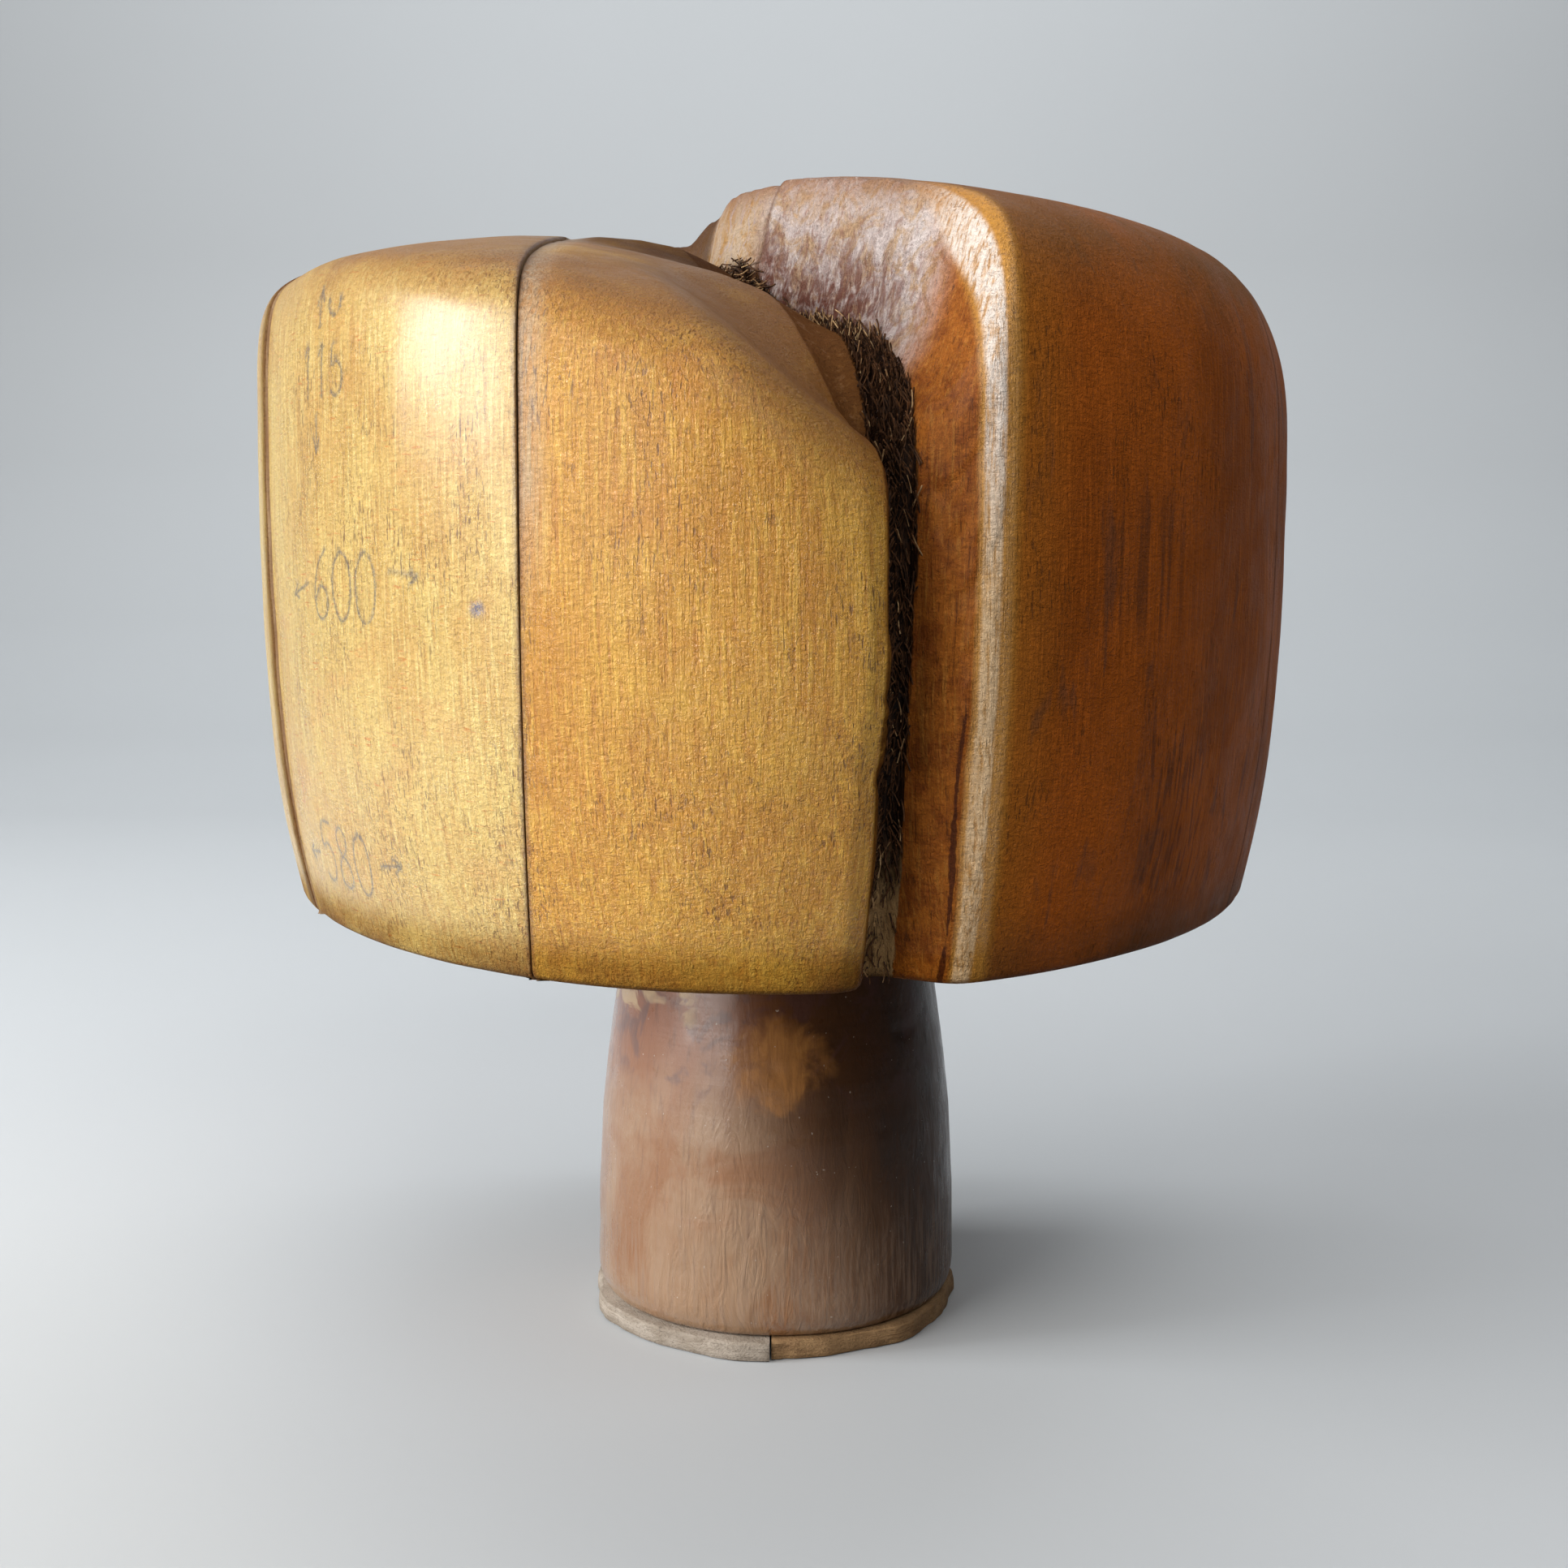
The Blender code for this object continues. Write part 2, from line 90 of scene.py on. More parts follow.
# Upper edge of the groove's wall in plan, from in front of the crown to its left.
WALL_EDGE = [
    (27, -140), (27, -104), (26.3, -95), (24, -87), (20, -77), (15, -66), (9, -54),
    (3, -44), (-2.5, -34), (-7, -24.5), (-9.5, -14), (-10.5, -4), (-12.5, 6),
    (-18, 13), (-26, 14), (-34, 10.5), (-43, 5.5), (-54, 1), (-70, -3), (-95, -7), (-140, -12),
]
WALL_ENDS_AT = -58.0
WALL_FADES_FROM = -26.0
WALL_LEAN = 0.027
WALL_LEANS_BELOW = 150.0

# Low lobe: how far its top lies under the high lobe's dome, fading out at the left.
LOW_DROP = 6.8
LOW_FROM = -68.0
LOW_FULL = -16.0
LOW_EDGE = (-4.5, 3.5)
LOW_EDGE_ON_TOP = (-2.6, 2.2)
DROP_STARTS = (95.0, 150.0)

# Behind the bend the high side carries on a little lower.
SHELF_DROP = 2.2
SHELF_LEFT_OF = (11.0, 15.0)
SHELF_EDGE = (-3.0, 1.0)
SHELF_DEPTH = (-60.0, -25.0)

# The low lobe's front corner by the groove is rounded off further.
CORNER_DROP = 14.0
CORNER_EDGE = (4.0, 11.0)
CORNER_REACH = (11.0, 36.0)
CORNER_DEPTH = (58.0, 90.0)

# In front of the key, the low lobe's top falls away towards the groove's bend.
BEND_DROP = 8.2
BEND_ACROSS = (-38.0, 6.0)
BEND_DEPTH = (32.0, 48.0)

# Groove section: distance from the wall edge and depth, on the front and on top.
FRONT_SECTION = [
    (-4.0, 0.0), (-1.6, 0.4), (0.6, 1.9), (2.8, 5.2), (5.4, 8.6), (8.0, 10.6),
    (9.9, 9.8), (11.0, 4.6), (12.2, 1.3), (15.5, 0.0),
]
TOP_SECTION = [
    (-6.0, 0.0), (-2.6, 0.2), (-0.6, 1.0), (0.6, 3.4), (2.2, 6.0), (4.6, 6.0),
    (8.0, 3.8), (12.0, 1.6), (16.5, 0.4), (22.0, 0.0),
]
SECTION_TURNS = (45.0, 85.0)

# The groove's corners are rounded by adding up shifted sections: shift and weight of each.
ROUNDING = ((-0.7, 0.12), (-0.35, 0.22), (0.0, 0.32), (0.35, 0.22), (0.7, 0.12))

# From this share of the way down, the carving goes straight in.
LEVEL_CUTS_FROM = (0.42, 0.62)

# Bands along the groove: from where to where off the wall's edge on the front and on top, the width
# over which a band ends, and the shares of the groove's depth between which it shows, if not all.
BANDS = {
    "dark": ((6.0, 10.4), (2.2, 4.8), 0.8, None),
    "wall": ((1.2, 5.4), (-2.2, 1.8), 1.7, None),
    "lip": ((11.0, 11.9), (5.2, 11.0), 1.3, None),
    "ridge": ((-1.9, -0.9), (-3.4, -1.6), 1.2, (0.2, 1.0)),
    "rim": ((-3.6, -0.2), (-5.6, -2.4), 2.2, (0.2, 1.0)),
    "bend": ((-8.0, 9.0), (-8.0, 9.0), 3.0, (0.0, 0.3)),
}
# Where along the wall line the cheek and the bend begin, and how far off its edge the deep stain does.
CHEEK_FROM = (108.0, 116.0)
BEND_FROM = (147.0, 153.0)
DEEP_FROM = (-1.8, 1.2)
# A dark crack down the front: its place off the wall's edge, and the heights where it fades out.
CRACK_PLACE = 0.9
CRACK_HALF_WIDTH = 1.2
CRACK_FADES = (112.0, 120.0)
# Pale splinters: where along the wall line they begin and end, and the heights under which they
# begin again and are thickest.
STRAW_ALONG = ((64.0, 80.0), (112.0, 122.0))
STRAW_BELOW = (96.0, 82.0)

# Relief, as (height, size of a bump, seed) of each noise. In the first three a size is across the
# groove and along it, with a third value that has no effect; in the others it is along X, Y and Z.
WANDER = ((0.5, (9, 13, 1), 5), (0.3, (4, 4.5, 1), 6))
TORN = ((0.6, (1.3, 14, 1), 3), (0.4, (0.8, 5, 1), 4), (0.35, (2.6, 3.1, 1), 7))
CHIPPED = ((0.28, (3.0, 2.4, 1), 8), (0.25, (6, 5, 1), 9))
TOOLING = ((0.16, (15, 15, 19), 1), (0.07, (5, 5, 7), 2))
TURNED = ((0.12, (14, 14, 26), 41), (0.012, (90, 90, 1.7), 42))

# Whole numbers that turn a cell's place into a value that looks random.
HASH_STEPS = np.array((374761393, 668265263, 2147483647))
HASH_SEED = 97
HASH_FACTOR = 1274126177
HASH_BITS = 0xFFFFFFFF

# Edges of the crown's mesh, away from the groove and in it, and beside the drawn marks.
DETAIL = (1.15, 0.5)
MARK_DETAIL = 0.26

# Extra rows of edges: above the crown's foot, and beside a seam as shares of its rounding.
FOOT_ROWS = (0.3, 0.8, 1.5)
EDGE_ROWS = (0.3, 0.75, 1.5)

# Steps between the worn segments.
LEFT_PROUD = 0.6
KEY_LOWER = 0.7

# Stands for a distance that is too far to matter.
FAR = 1e9

# Seams between the segments, and the gap that every pair of touching pieces keeps.
KEY_HALF_WIDTH = 31.5
KEY_HALF_LENGTH = 36.0
GAP = 0.3
SEAM_GAP = 0.16

# Post, turned to the key's width, as (radius, height); its tenon and the cross pin.
POST_RADIUS = KEY_HALF_WIDTH - 0.2
POST_PROFILE = [
    (POST_RADIUS - 7.1, 75.0), (POST_RADIUS - 6.3, 74.2), (POST_RADIUS - 4.7, 65.0),
    (POST_RADIUS - 3.1, 53.0), (POST_RADIUS - 2.0, 45.0), (POST_RADIUS - 0.9, 35.0),
    (POST_RADIUS - 0.2, 21.0), (POST_RADIUS, 8.0), (POST_RADIUS - 0.4, 5.2),
    (POST_RADIUS - 1.7, 3.3),
]
POST_FOOT = [(31.2, 6.6), (30.85, 5.2), (30.4, 4.2), (29.9, 3.55), (29.4, 3.3), (0, 3.3)]
SHOULDER = CROWN_FOOT - GAP
TENON_RADIUS = 14.0
TENON_TOP = 116.0
PIN_RADIUS = 4.0
PIN_HEIGHT = CROWN_FOOT + 0.52 * (TENON_TOP - CROWN_FOOT)

# Foot pads, with the section of their rim as (inset, height).
PAD_RADIUS = POST_RADIUS - 0.1
PAD_SPLIT = -0.8
PAD_PROUD = 0.7
PAD_SECTION = [(0.15, 0.0), (0.0, 0.25), (0.0, 1.2), (0.06, 2.0), (0.12, 2.6), (0.35, 2.9), (0.8, 3.0)]

# Splines: loose tongues across the seams, each equally far from a corner of the key.
SPLINE_FROM_CORNER = 19.5
SPLINE_OFF_X = KEY_HALF_WIDTH - SPLINE_FROM_CORNER
SPLINE_OFF_Y = KEY_HALF_LENGTH - SPLINE_FROM_CORNER
CORNER_SPLINE_OFF = KEY_HALF_WIDTH + SPLINE_FROM_CORNER
SPLINE_THICKNESS = 4.0
SPLINE_REACH = 7.0
SPLINE_BOTTOM = 79.0
SPLINE_TOP = 150.0

# Segments: low and high corner of each in plan, its body and its finish.
LEFT, RIGHT = -KEY_HALF_WIDTH, KEY_HALF_WIDTH
FRONT, BACK = -KEY_HALF_LENGTH, KEY_HALF_LENGTH
SEGMENTS = {
    "key": ((LEFT, FRONT), (RIGHT, BACK), "stand", "golden_maple"),
    "front_piece": ((LEFT, None), (None, FRONT), "front_piece", "golden_maple"),
    "front_left_corner": ((None, None), (LEFT, FRONT), "front_left_corner", "light_maple"),
    "left_side": ((None, FRONT), (LEFT, BACK), "left_side", "light_maple"),
    "right_side": ((RIGHT, FRONT), (None, BACK), "right_side", "golden_maple"),
    "back_piece": ((None, BACK), (RIGHT, None), "back_piece", "golden_maple"),
    "back_right_corner": ((RIGHT, BACK), (None, None), "back_right_corner", "light_maple"),
}

# Splines: seam, place along it, whether it crosses the seam along X, holder, slider and body.
TONGUES = (
    ("front_spline", FRONT, -SPLINE_OFF_X, False, "key", "front_piece", "stand"),
    ("back_spline", BACK, SPLINE_OFF_X, False, "key", "back_piece", "stand"),
    ("left_spline", LEFT, SPLINE_OFF_Y, True, "key", "left_side", "stand"),
    ("right_spline", RIGHT, -SPLINE_OFF_Y, True, "key", "right_side", "stand"),
    ("left_corner_spline", FRONT, -CORNER_SPLINE_OFF, False, "left_side", "front_left_corner", "left_side"),
    ("right_corner_spline", BACK, CORNER_SPLINE_OFF, False, "right_side", "back_right_corner", "right_side"),
)

# Size marks drawn on the front left: across the face, height, text height and the text.
MARK_TURN = (0.598, -0.801)
MARKS = [(8.6, 121.0, 9.6, "600"), (0.4, 82.2, 9.0, "580"), (5.4, 151.8, 7.2, "115")]
ARROWS = [
    (6.2, 126.0, -0.8, 124.4), (31.8, 127.4, 39.0, 126.8), (-1.6, 86.0, -7.0, 85.6),
    (22.8, 86.8, 28.8, 87.6), (11.1, 149.2, 11.1, 144.0), (12.4, 161.2, 12.0, 166.6),
]
ARROW_HEAD = 2.0
DIGIT_STEP = 0.74
DIGIT_FALL = 0.02
CURL_PLACE = (14.2, 163.6)
DIGITS = {
    "0": [
        (0.32, 1.0), (0.1, 0.82), (0.02, 0.5), (0.1, 0.14), (0.3, 0.0), (0.52, 0.14),
        (0.6, 0.5), (0.52, 0.86), (0.3, 0.99), (0.22, 0.95),
    ],
    "1": [(0.2, 0.8), (0.36, 0.98), (0.33, 0.5), (0.34, 0.0)],
    "5": [
        (0.56, 1.0), (0.14, 0.97), (0.1, 0.6), (0.34, 0.64), (0.56, 0.44), (0.5, 0.12),
        (0.24, 0.0), (0.04, 0.1),
    ],
    "6": [
        (0.5, 1.0), (0.22, 0.78), (0.06, 0.4), (0.12, 0.08), (0.34, 0.0), (0.54, 0.16),
        (0.48, 0.42), (0.26, 0.47), (0.1, 0.3),
    ],
    "8": [
        (0.5, 0.86), (0.3, 1.0), (0.1, 0.84), (0.2, 0.58), (0.5, 0.38), (0.52, 0.1),
        (0.28, 0.0), (0.06, 0.14), (0.14, 0.42), (0.44, 0.62), (0.5, 0.82),
    ],
}
INK_SPOT = (49.8, 122.7, 1.3)

# Fibres are given on a square centimetre and grown on a square metre.
PER_SQUARE_CM = 1e4

# Studio, in metres: the floor's profile, and each lamp's place, aim, size, share of power and colour.
FLOOR_PROFILE = [(-1.6, 0.0), (0.7, 0.0), (0.95, 0.02), (1.15, 0.09), (1.3, 0.22), (1.38, 0.4), (1.4, 2.4)]
MIDDLE = (0.0, 0.0, 0.12)
LAMPS = (
    ("window", (-0.80, -0.62, 0.42), MIDDLE, 0.9, 0.7, 1.0, (1.0, 0.98, 0.95)),
    ("side_window", (-0.85, -0.12, 0.38), MIDDLE, 0.34, 0.3, 0.5, (0.97, 0.99, 1.0)),
    ("front", (0.3, -1.1, 1.1), MIDDLE, 1.0, 0.7, 0.65, (1.0, 0.98, 0.96)),
    ("ceiling", (0.1, 0.30, 1.1), MIDDLE, 0.9, 0.9, 0.22, (0.97, 0.98, 1.0)),
    ("back_wall", (0.0, 0.55, 1.3), (0.0, 1.4, 0.5), 1.6, 0.4, 0.9, (0.95, 0.98, 1.0)),
)

# Camera, as fitted to the photo, whose width and focal length are in pixels.
CAMERA_PLACE = (0.0014, -0.337, 0.127)
CAMERA_TILT = 6.1
PHOTO_WIDTH = 1932
PHOTO_FOCAL = 2400
SENSOR_WIDTH = 36.0


def collection(name, helper=False):
    made = bpy.data.collections.get(name) or bpy.data.collections.new(name)
    if name not in bpy.context.scene.collection.children:
        bpy.context.scene.collection.children.link(made)
    made.hide_render = helper
    return made


def smoothstep(value, start, end):
    share = np.clip((value - start) / (end - start), 0.0, 1.0)
    return share * share * (3 - 2 * share)


def window(value, rise, fall):
    """1 between two edges, each given by where it starts and where it ends."""
    return smoothstep(value, *rise) * (1 - smoothstep(value, *fall))


def blend(first, last, share):
    return first * (1 - share) + last * share


def soft_noise(places, size, seed):
    """Smooth noise from -1 to 1; size is that of one bump, along each axis."""
    q = places / np.array(size, float)
    cell = np.floor(q).astype(np.int64)
    u = q - cell
    u = u * u * (3 - 2 * u)
    total = np.zeros(len(q))
    for corner in np.ndindex(2, 2, 2):
        mixed = ((cell + corner) * HASH_STEPS).sum(1) + seed * HASH_SEED & HASH_BITS
        mixed = ((mixed ^ (mixed >> 13)) * HASH_FACTOR) & HASH_BITS
        value = ((mixed ^ (mixed >> 16)) & 0xFFFF) / 32767.5 - 1
        share = np.where(np.array(corner) == 1, u, 1 - u)
        total += value * share.prod(1)
    return total


def layered_noise(places, layers):
    """Sum of noises, each given as (height, size of a bump, seed)."""
    return sum(height * soft_noise(places, size, seed) for height, size, seed in layers)


def spline_through(points, share):
    """A smooth curve over control points, mirrored at the first one and straight past the last."""
    points = np.array(points, float)
    before = points[1] * (-1, 1)
    after = 2 * points[-1] - points[-2]
    points = np.vstack([before, points, after])
    spans = len(points) - 3
    where = np.clip(share, 0, 1) * spans
    first = np.minimum(where.astype(int), spans - 1)
    u = (where - first)[..., None]
    a, b, c, d = (points[first + k] for k in range(4))
    blend_b = 3 * u**3 - 6 * u**2 + 4
    blend_c = -3 * u**3 + 3 * u**2 + 3 * u + 1
    return ((1 - u) ** 3 * a + blend_b * b + blend_c * c + u**3 * d) / 6


def blank_surface(angle, share):
    """The crown without its groove: angle in plan, share of the way from top centre to foot."""
    right = ((1 + np.cos(angle)) / 2)[..., None]
    profile = blend(spline_through(LEFT_PROFILE, share), spline_through(RIGHT_PROFILE, share), right)
    size, height = profile[..., 0], profile[..., 1]
    x = HALF_WIDTH * size * np.cos(angle) * (1 + EGG * np.sin(angle))
    y = HALF_LENGTH * size * np.sin(angle)
    return np.stack([x, y, height], -1)


def blank_normal(angle, share):
    """Normals of the crown without its groove, from two small steps along it."""
    step = 1e-4
    across = blank_surface(angle + step, share) - blank_surface(angle, share)
    below = blank_surface(angle, np.minimum(share + step, 1))
    above = blank_surface(angle, np.minimum(share, 1 - step))
    normal = np.cross(below - above, across)
    return normal / np.maximum(np.linalg.norm(normal, axis=-1, keepdims=True), 1e-12)


def rounded_line(points, steps=6):
    points = np.array(points, float)
    line = [points[0]]
    for p0, p1, p2, p3 in zip(points, points[1:], points[2:], points[3:]):
        for u in np.arange(steps) / steps:
            bend = (2 * p0 - 5 * p1 + 4 * p2 - p3) * u**2 + (3 * p1 - p0 - 3 * p2 + p3) * u**3
            line.append(0.5 * (2 * p1 + (p2 - p0) * u + bend))
    return np.array([*line, points[-2], points[-1]])


WALL_LINE = rounded_line(WALL_EDGE)


def along_wall(x, y):
    """The wall line's distance from places in plan, its side, length and direction there."""
    nearest = np.full(x.shape, FAR)
    side = np.ones(x.shape)
    along = np.zeros(x.shape)
    direction = np.zeros((*x.shape, 3))
    start = 0.0
    for (px, py), (qx, qy) in zip(WALL_LINE, WALL_LINE[1:]):
        dx, dy = qx - px, qy - py
        length = math.hypot(dx, dy)
        t = np.clip(((x - px) * dx + (y - py) * dy) / length**2, 0, 1)
        distance = np.hypot(x - px - t * dx, y - py - t * dy)
        closer = distance < nearest
        left = dx * (y - py) - dy * (x - px) > 0
        nearest = np.where(closer, distance, nearest)
        side = np.where(closer, np.where(left, 1.0, -1.0), side)
        along = np.where(closer, start + t * length, along)
        direction[closer] = (dx / length, dy / length, 0)
        start += length
    return nearest, side, along, direction


def from_wall(x, y, height):
    """(distance, length): distance from the wall edge, positive on the low lobe, and length along it."""
    nearest, side, along, _ = along_wall(x, y)
    lean = WALL_LEAN * np.clip(WALL_LEANS_BELOW - height, 0, None)
    return nearest * side - lean, along


def section_depth(distance, along):
    """Depth of the groove, its corners rounded over about a millimetre."""
    top = smoothstep(along, *SECTION_TURNS)[..., None]
    distances, depths = (
        blend(np.array(front, float), np.array(on_top, float), top)
        for front, on_top in zip(zip(*FRONT_SECTION), zip(*TOP_SECTION))
    )
    total = np.zeros(distance.shape)
    for shift, weight in ROUNDING:
        for k in range(len(FRONT_SECTION) - 1):
            span = distances[..., k + 1] - distances[..., k]
            part = np.clip((distance + shift - distances[..., k]) / span, 0, 1)
            total += weight * part * (depths[..., k + 1] - depths[..., k])
    return total


def lobe_drop(x, y, distance, along):
    """How far the low lobe and the shelf behind the bend lie under the high lobe's dome."""
    on_top = smoothstep(along, *SECTION_TURNS)
    slope = smoothstep(distance, *LOW_EDGE) * (1 - on_top)
    slope += smoothstep(distance, *LOW_EDGE_ON_TOP) * on_top
    drop = LOW_DROP * smoothstep(x, LOW_FROM, LOW_FULL) * slope
    corner = smoothstep(distance, *CORNER_EDGE) - smoothstep(distance, *CORNER_REACH)
    drop += CORNER_DROP * corner * smoothstep(-y, *CORNER_DEPTH)
    drop += BEND_DROP * smoothstep(x, *BEND_ACROSS) * smoothstep(-y, *BEND_DEPTH) * slope
    shelf = SHELF_DROP * smoothstep(-x, *SHELF_LEFT_OF) * smoothstep(-distance, *SHELF_EDGE)
    return drop + shelf * smoothstep(-y, *SHELF_DEPTH)


def groove_masks(distance, along, height, fade):
    """Where the torn floor, the wall, the ridge with its wear and the lip of the groove lie; the finish also
    paints shade on the floor, the bend and the lip, and a highlight on the ridge.
    """
    top = smoothstep(along, *SECTION_TURNS)
    masks = {"upper": top, "cheek": smoothstep(along, *CHEEK_FROM)}
    masks["deep"] = smoothstep(distance, *DEEP_FROM) * top
    for name, (front, on_top, soft, fades) in BANDS.items():
        start, end = (blend(front[k], on_top[k], top) for k in range(2))
        band = smoothstep(distance - start, -soft, 0) * (1 - smoothstep(distance - end, 0, soft))
        masks[name] = band * (smoothstep(fade, *fades) if fades else fade)
    masks["bend"] *= smoothstep(along, *BEND_FROM)
    crack = np.clip(1 - abs(distance - CRACK_PLACE) / CRACK_HALF_WIDTH, 0, 1)
    masks["crack"] = crack * (1 - top) * (1 - smoothstep(height, *CRACK_FADES))
    masks["straw"] = window(along, *STRAW_ALONG) + smoothstep(height, *STRAW_BELOW)
    return masks


def crown_surface(angle, share, tooling):
    """The carved crown, its distance from the wall edge, the length along that, and the groove's masks."""
    point = blank_surface(angle, share)
    x, y, height = np.moveaxis(point, -1, 0)
    normal = blank_normal(angle, share)
    normal[..., 2] *= 1 - smoothstep(share, *LEVEL_CUTS_FROM)
    distance, along = from_wall(x, y, height)
    fade = smoothstep(x, WALL_ENDS_AT, WALL_FADES_FROM)
    inside = np.stack([distance, along + height, np.zeros(len(along))], -1)
    depth = section_depth(distance + layered_noise(inside, WANDER) * fade, along) * fade
    drop = lobe_drop(x, y, distance, along)
    masks = groove_masks(distance, along, height, fade)
    torn, chipped = layered_noise(inside, TORN), layered_noise(inside, CHIPPED)
    depth = depth - layered_noise(point, TOOLING) * tooling + masks["dark"] * torn
    depth += masks["wall"] * chipped * 0.8 + masks["ridge"] * np.clip(chipped, 0, 1) * 0.5
    depth += masks["lip"] * np.clip(chipped + torn * 0.2, 0, 1) * 0.6
    point = point - normal * depth[..., None]
    point[..., 2] -= drop * smoothstep(height, *DROP_STARTS)
    return point, distance, along, masks


def from_flat(flat):
    """(angle, share) of places on the flat sheet that the crown's outside unrolls to."""
    share = np.minimum(np.hypot(flat[:, 0], flat[:, 1]), 1.0)
    share[share > 0.9995] = 1.0
    return np.arctan2(flat[:, 1], flat[:, 0]), share


def first_sheet(rings=34):
    """Points and triangles of a coarse flat sheet."""
    places = [(0.0, 0.0)]
    for ring in range(1, rings + 1):
        share = ring / rings
        count = round(6 + 84 * min(1.0, share / 0.42))
        for angle in (np.arange(count) + 0.5 * (ring % 2)) * 2 * math.pi / count:
            places.append((share * np.cos(angle), share * np.sin(angle)))
    made = delaunay_2d_cdt(places, [], [], 0, 1e-6)
    return np.array([tuple(p) for p in made[0]]), np.array([tuple(f) for f in made[2]])


def split_long_edges(flat, faces, too_long, passes=9):
    """Halves every edge that is too long and the triangles beside it, until none is."""
    for _ in range(passes):
        sides = np.sort(np.stack([faces, np.roll(faces, -1, 1)], -1).reshape(-1, 2), 1)
        edges, where, uses = np.unique(sides, axis=0, return_inverse=True, return_counts=True)
        marked = too_long(flat, edges)
        if not marked.any():
            break
        middle = flat[edges[marked]].mean(1)
        rim = (uses[marked] == 1)[:, None]
        middle = np.where(rim, middle / np.maximum(np.linalg.norm(middle, axis=1), 1e-9)[:, None], middle)
        number = np.full(len(edges), -1)
        number[marked] = len(flat) + np.arange(marked.sum())
        flat = np.vstack([flat, middle])
        new = number[where.reshape(-1)].reshape(-1, 3)
        count = (new >= 0).sum(1)
        pieces = [faces[count == 0]]
        for turn in range(3):
            f, n = np.roll(faces, -turn, 1), np.roll(new, -turn, 1)
            one = (count == 1) & (n[:, 0] >= 0)
            (a, b, c), m = f[one].T, n[one, 0]
            pieces += [np.stack([a, m, c], 1), np.stack([m, b, c], 1)]
            two = (count == 2) & (n[:, 2] < 0)
            (a, b, c), (m, k) = f[two].T, n[two, :2].T
            pieces += [np.stack([m, b, k], 1), np.stack([a, m, k], 1), np.stack([a, k, c], 1)]
        (a, b, c), (m, k, q) = faces[count == 3].T, new[count == 3].T
        pieces += [np.stack(t, 1) for t in ((a, m, q), (m, b, k), (q, k, c), (m, k, q))]
        faces = np.vstack(pieces)
    return flat, faces


def mark_strokes():
    """The drawn marks as lines: place across the face and height."""
    strokes = []
    for left, foot, size, text in MARKS:
        for i, letter in enumerate(text):
            line = rounded_line(np.array([DIGITS[letter][0], *DIGITS[letter], DIGITS[letter][-1]]), 4)
            strokes.append(line * size + (left + i * DIGIT_STEP * size, foot - DIGIT_FALL * size * i))
    for x0, z0, x1, z1 in ARROWS:
        strokes.append(np.array([(x0, z0), (x1, z1)]))
        back = np.array([x0 - x1, z0 - z1]) / math.hypot(x1 - x0, z1 - z0) * ARROW_HEAD
        side = np.array([-back[1], back[0]]) * 0.5
        strokes.append(np.array([(x1, z1) + back + side, (x1, z1), (x1, z1) + back - side]))
    turn = np.linspace(0, 4.4, 26)
    curl = np.stack([1.3 * turn + 0.9 * np.cos(2.2 * turn), 1.2 * np.sin(2.2 * turn)], 1)
    return [*strokes, curl + CURL_PLACE]


STROKES = mark_strokes()


def on_marked_face(points):
    """(place across, height) of points on the face that carries the marks."""
    return np.stack([points[:, 0] * MARK_TURN[0] + points[:, 1] * MARK_TURN[1], points[:, 2]], 1)


def from_strokes(points):
    """Distance to the nearest drawn line; far where no mark can be."""
    found = np.full(len(points), FAR)
    near = (points[:, 0] < -KEY_HALF_WIDTH) & (points[:, 1] < -KEY_HALF_LENGTH)
    places = on_marked_face(points[near])
    best = np.full(len(places), FAR)
    for line in STROKES:
        for a, b in zip(line, line[1:]):
            d = b - a
            t = np.clip(((places - a) @ d) / max(d @ d, 1e-9), 0, 1)
            best = np.minimum(best, np.linalg.norm(places - a - t[:, None] * d, axis=1))
    found[near] = best
    return found


def read(items, name, width=1, kind=np.float32):
    """One property of all the items of a mesh, a row for each."""
    values = np.zeros(len(items) * width, kind)
    items.foreach_get(name, values)
    return values.reshape(-1, width) if width > 1 else values


def add_layer(mesh, name, value):
    layer = mesh.attributes.get(name) or mesh.attributes.new(name, "FLOAT", "POINT")
    layer.data.foreach_set("value", np.asarray(value, np.float32))


def point_normals(points, faces):
    """The normals of the triangles around each point, added up."""
    a, b, c = (points[faces[:, k]] for k in range(3))
    across = np.cross(b - a, c - a)
    total = np.zeros(points.shape)
    for k in range(3):
        np.add.at(total, faces[:, k], across)
    return total


def crown_masks(points, upward, share, distance, along, masks):
    """The groove's masks, and where the lobes, the up-facing edge of the low lobe painted with shade, the
    foot and a few stains lie.
    """
    x, y, z = points.T
    # Painted shade: where the low lobe's top faces up beside the groove, most of all further back.
    shaded_shoulder = smoothstep(upward, 0.42, 0.85) * window(distance, (3, 7), (16, 42))
    # Painted shade: the high lobe's top beyond the ridge.
    brow = window(-distance, (-0.2, 2.6), (14, 22)) * smoothstep(along, 52, 82)
    return {
        **masks,
        "high": smoothstep(-distance, 2.6 - 0.8 * masks["upper"], 6.0) * smoothstep(x, -72, -30),
        "near_ridge": 1 - smoothstep(-distance, 3, 15),
        "brow": brow * smoothstep(x, -66, -40),
        "shaded_shoulder": shaded_shoulder * (0.32 + 0.68 * smoothstep(y, -54, -42)),
        # The top, painted darker as shade where it faces up.
        "crest": 1 - smoothstep(share, 0.39, 0.53),
        "foot": smoothstep(share, 0.945, 0.995),
        "stain": window(x, (42, 46), (53, 58)) * window(z, (116, 123), (134, 141)),
        "lines": window(x, (47, 51), (59, 63)) * window(z, (79, 85), (104, 112)),
    }


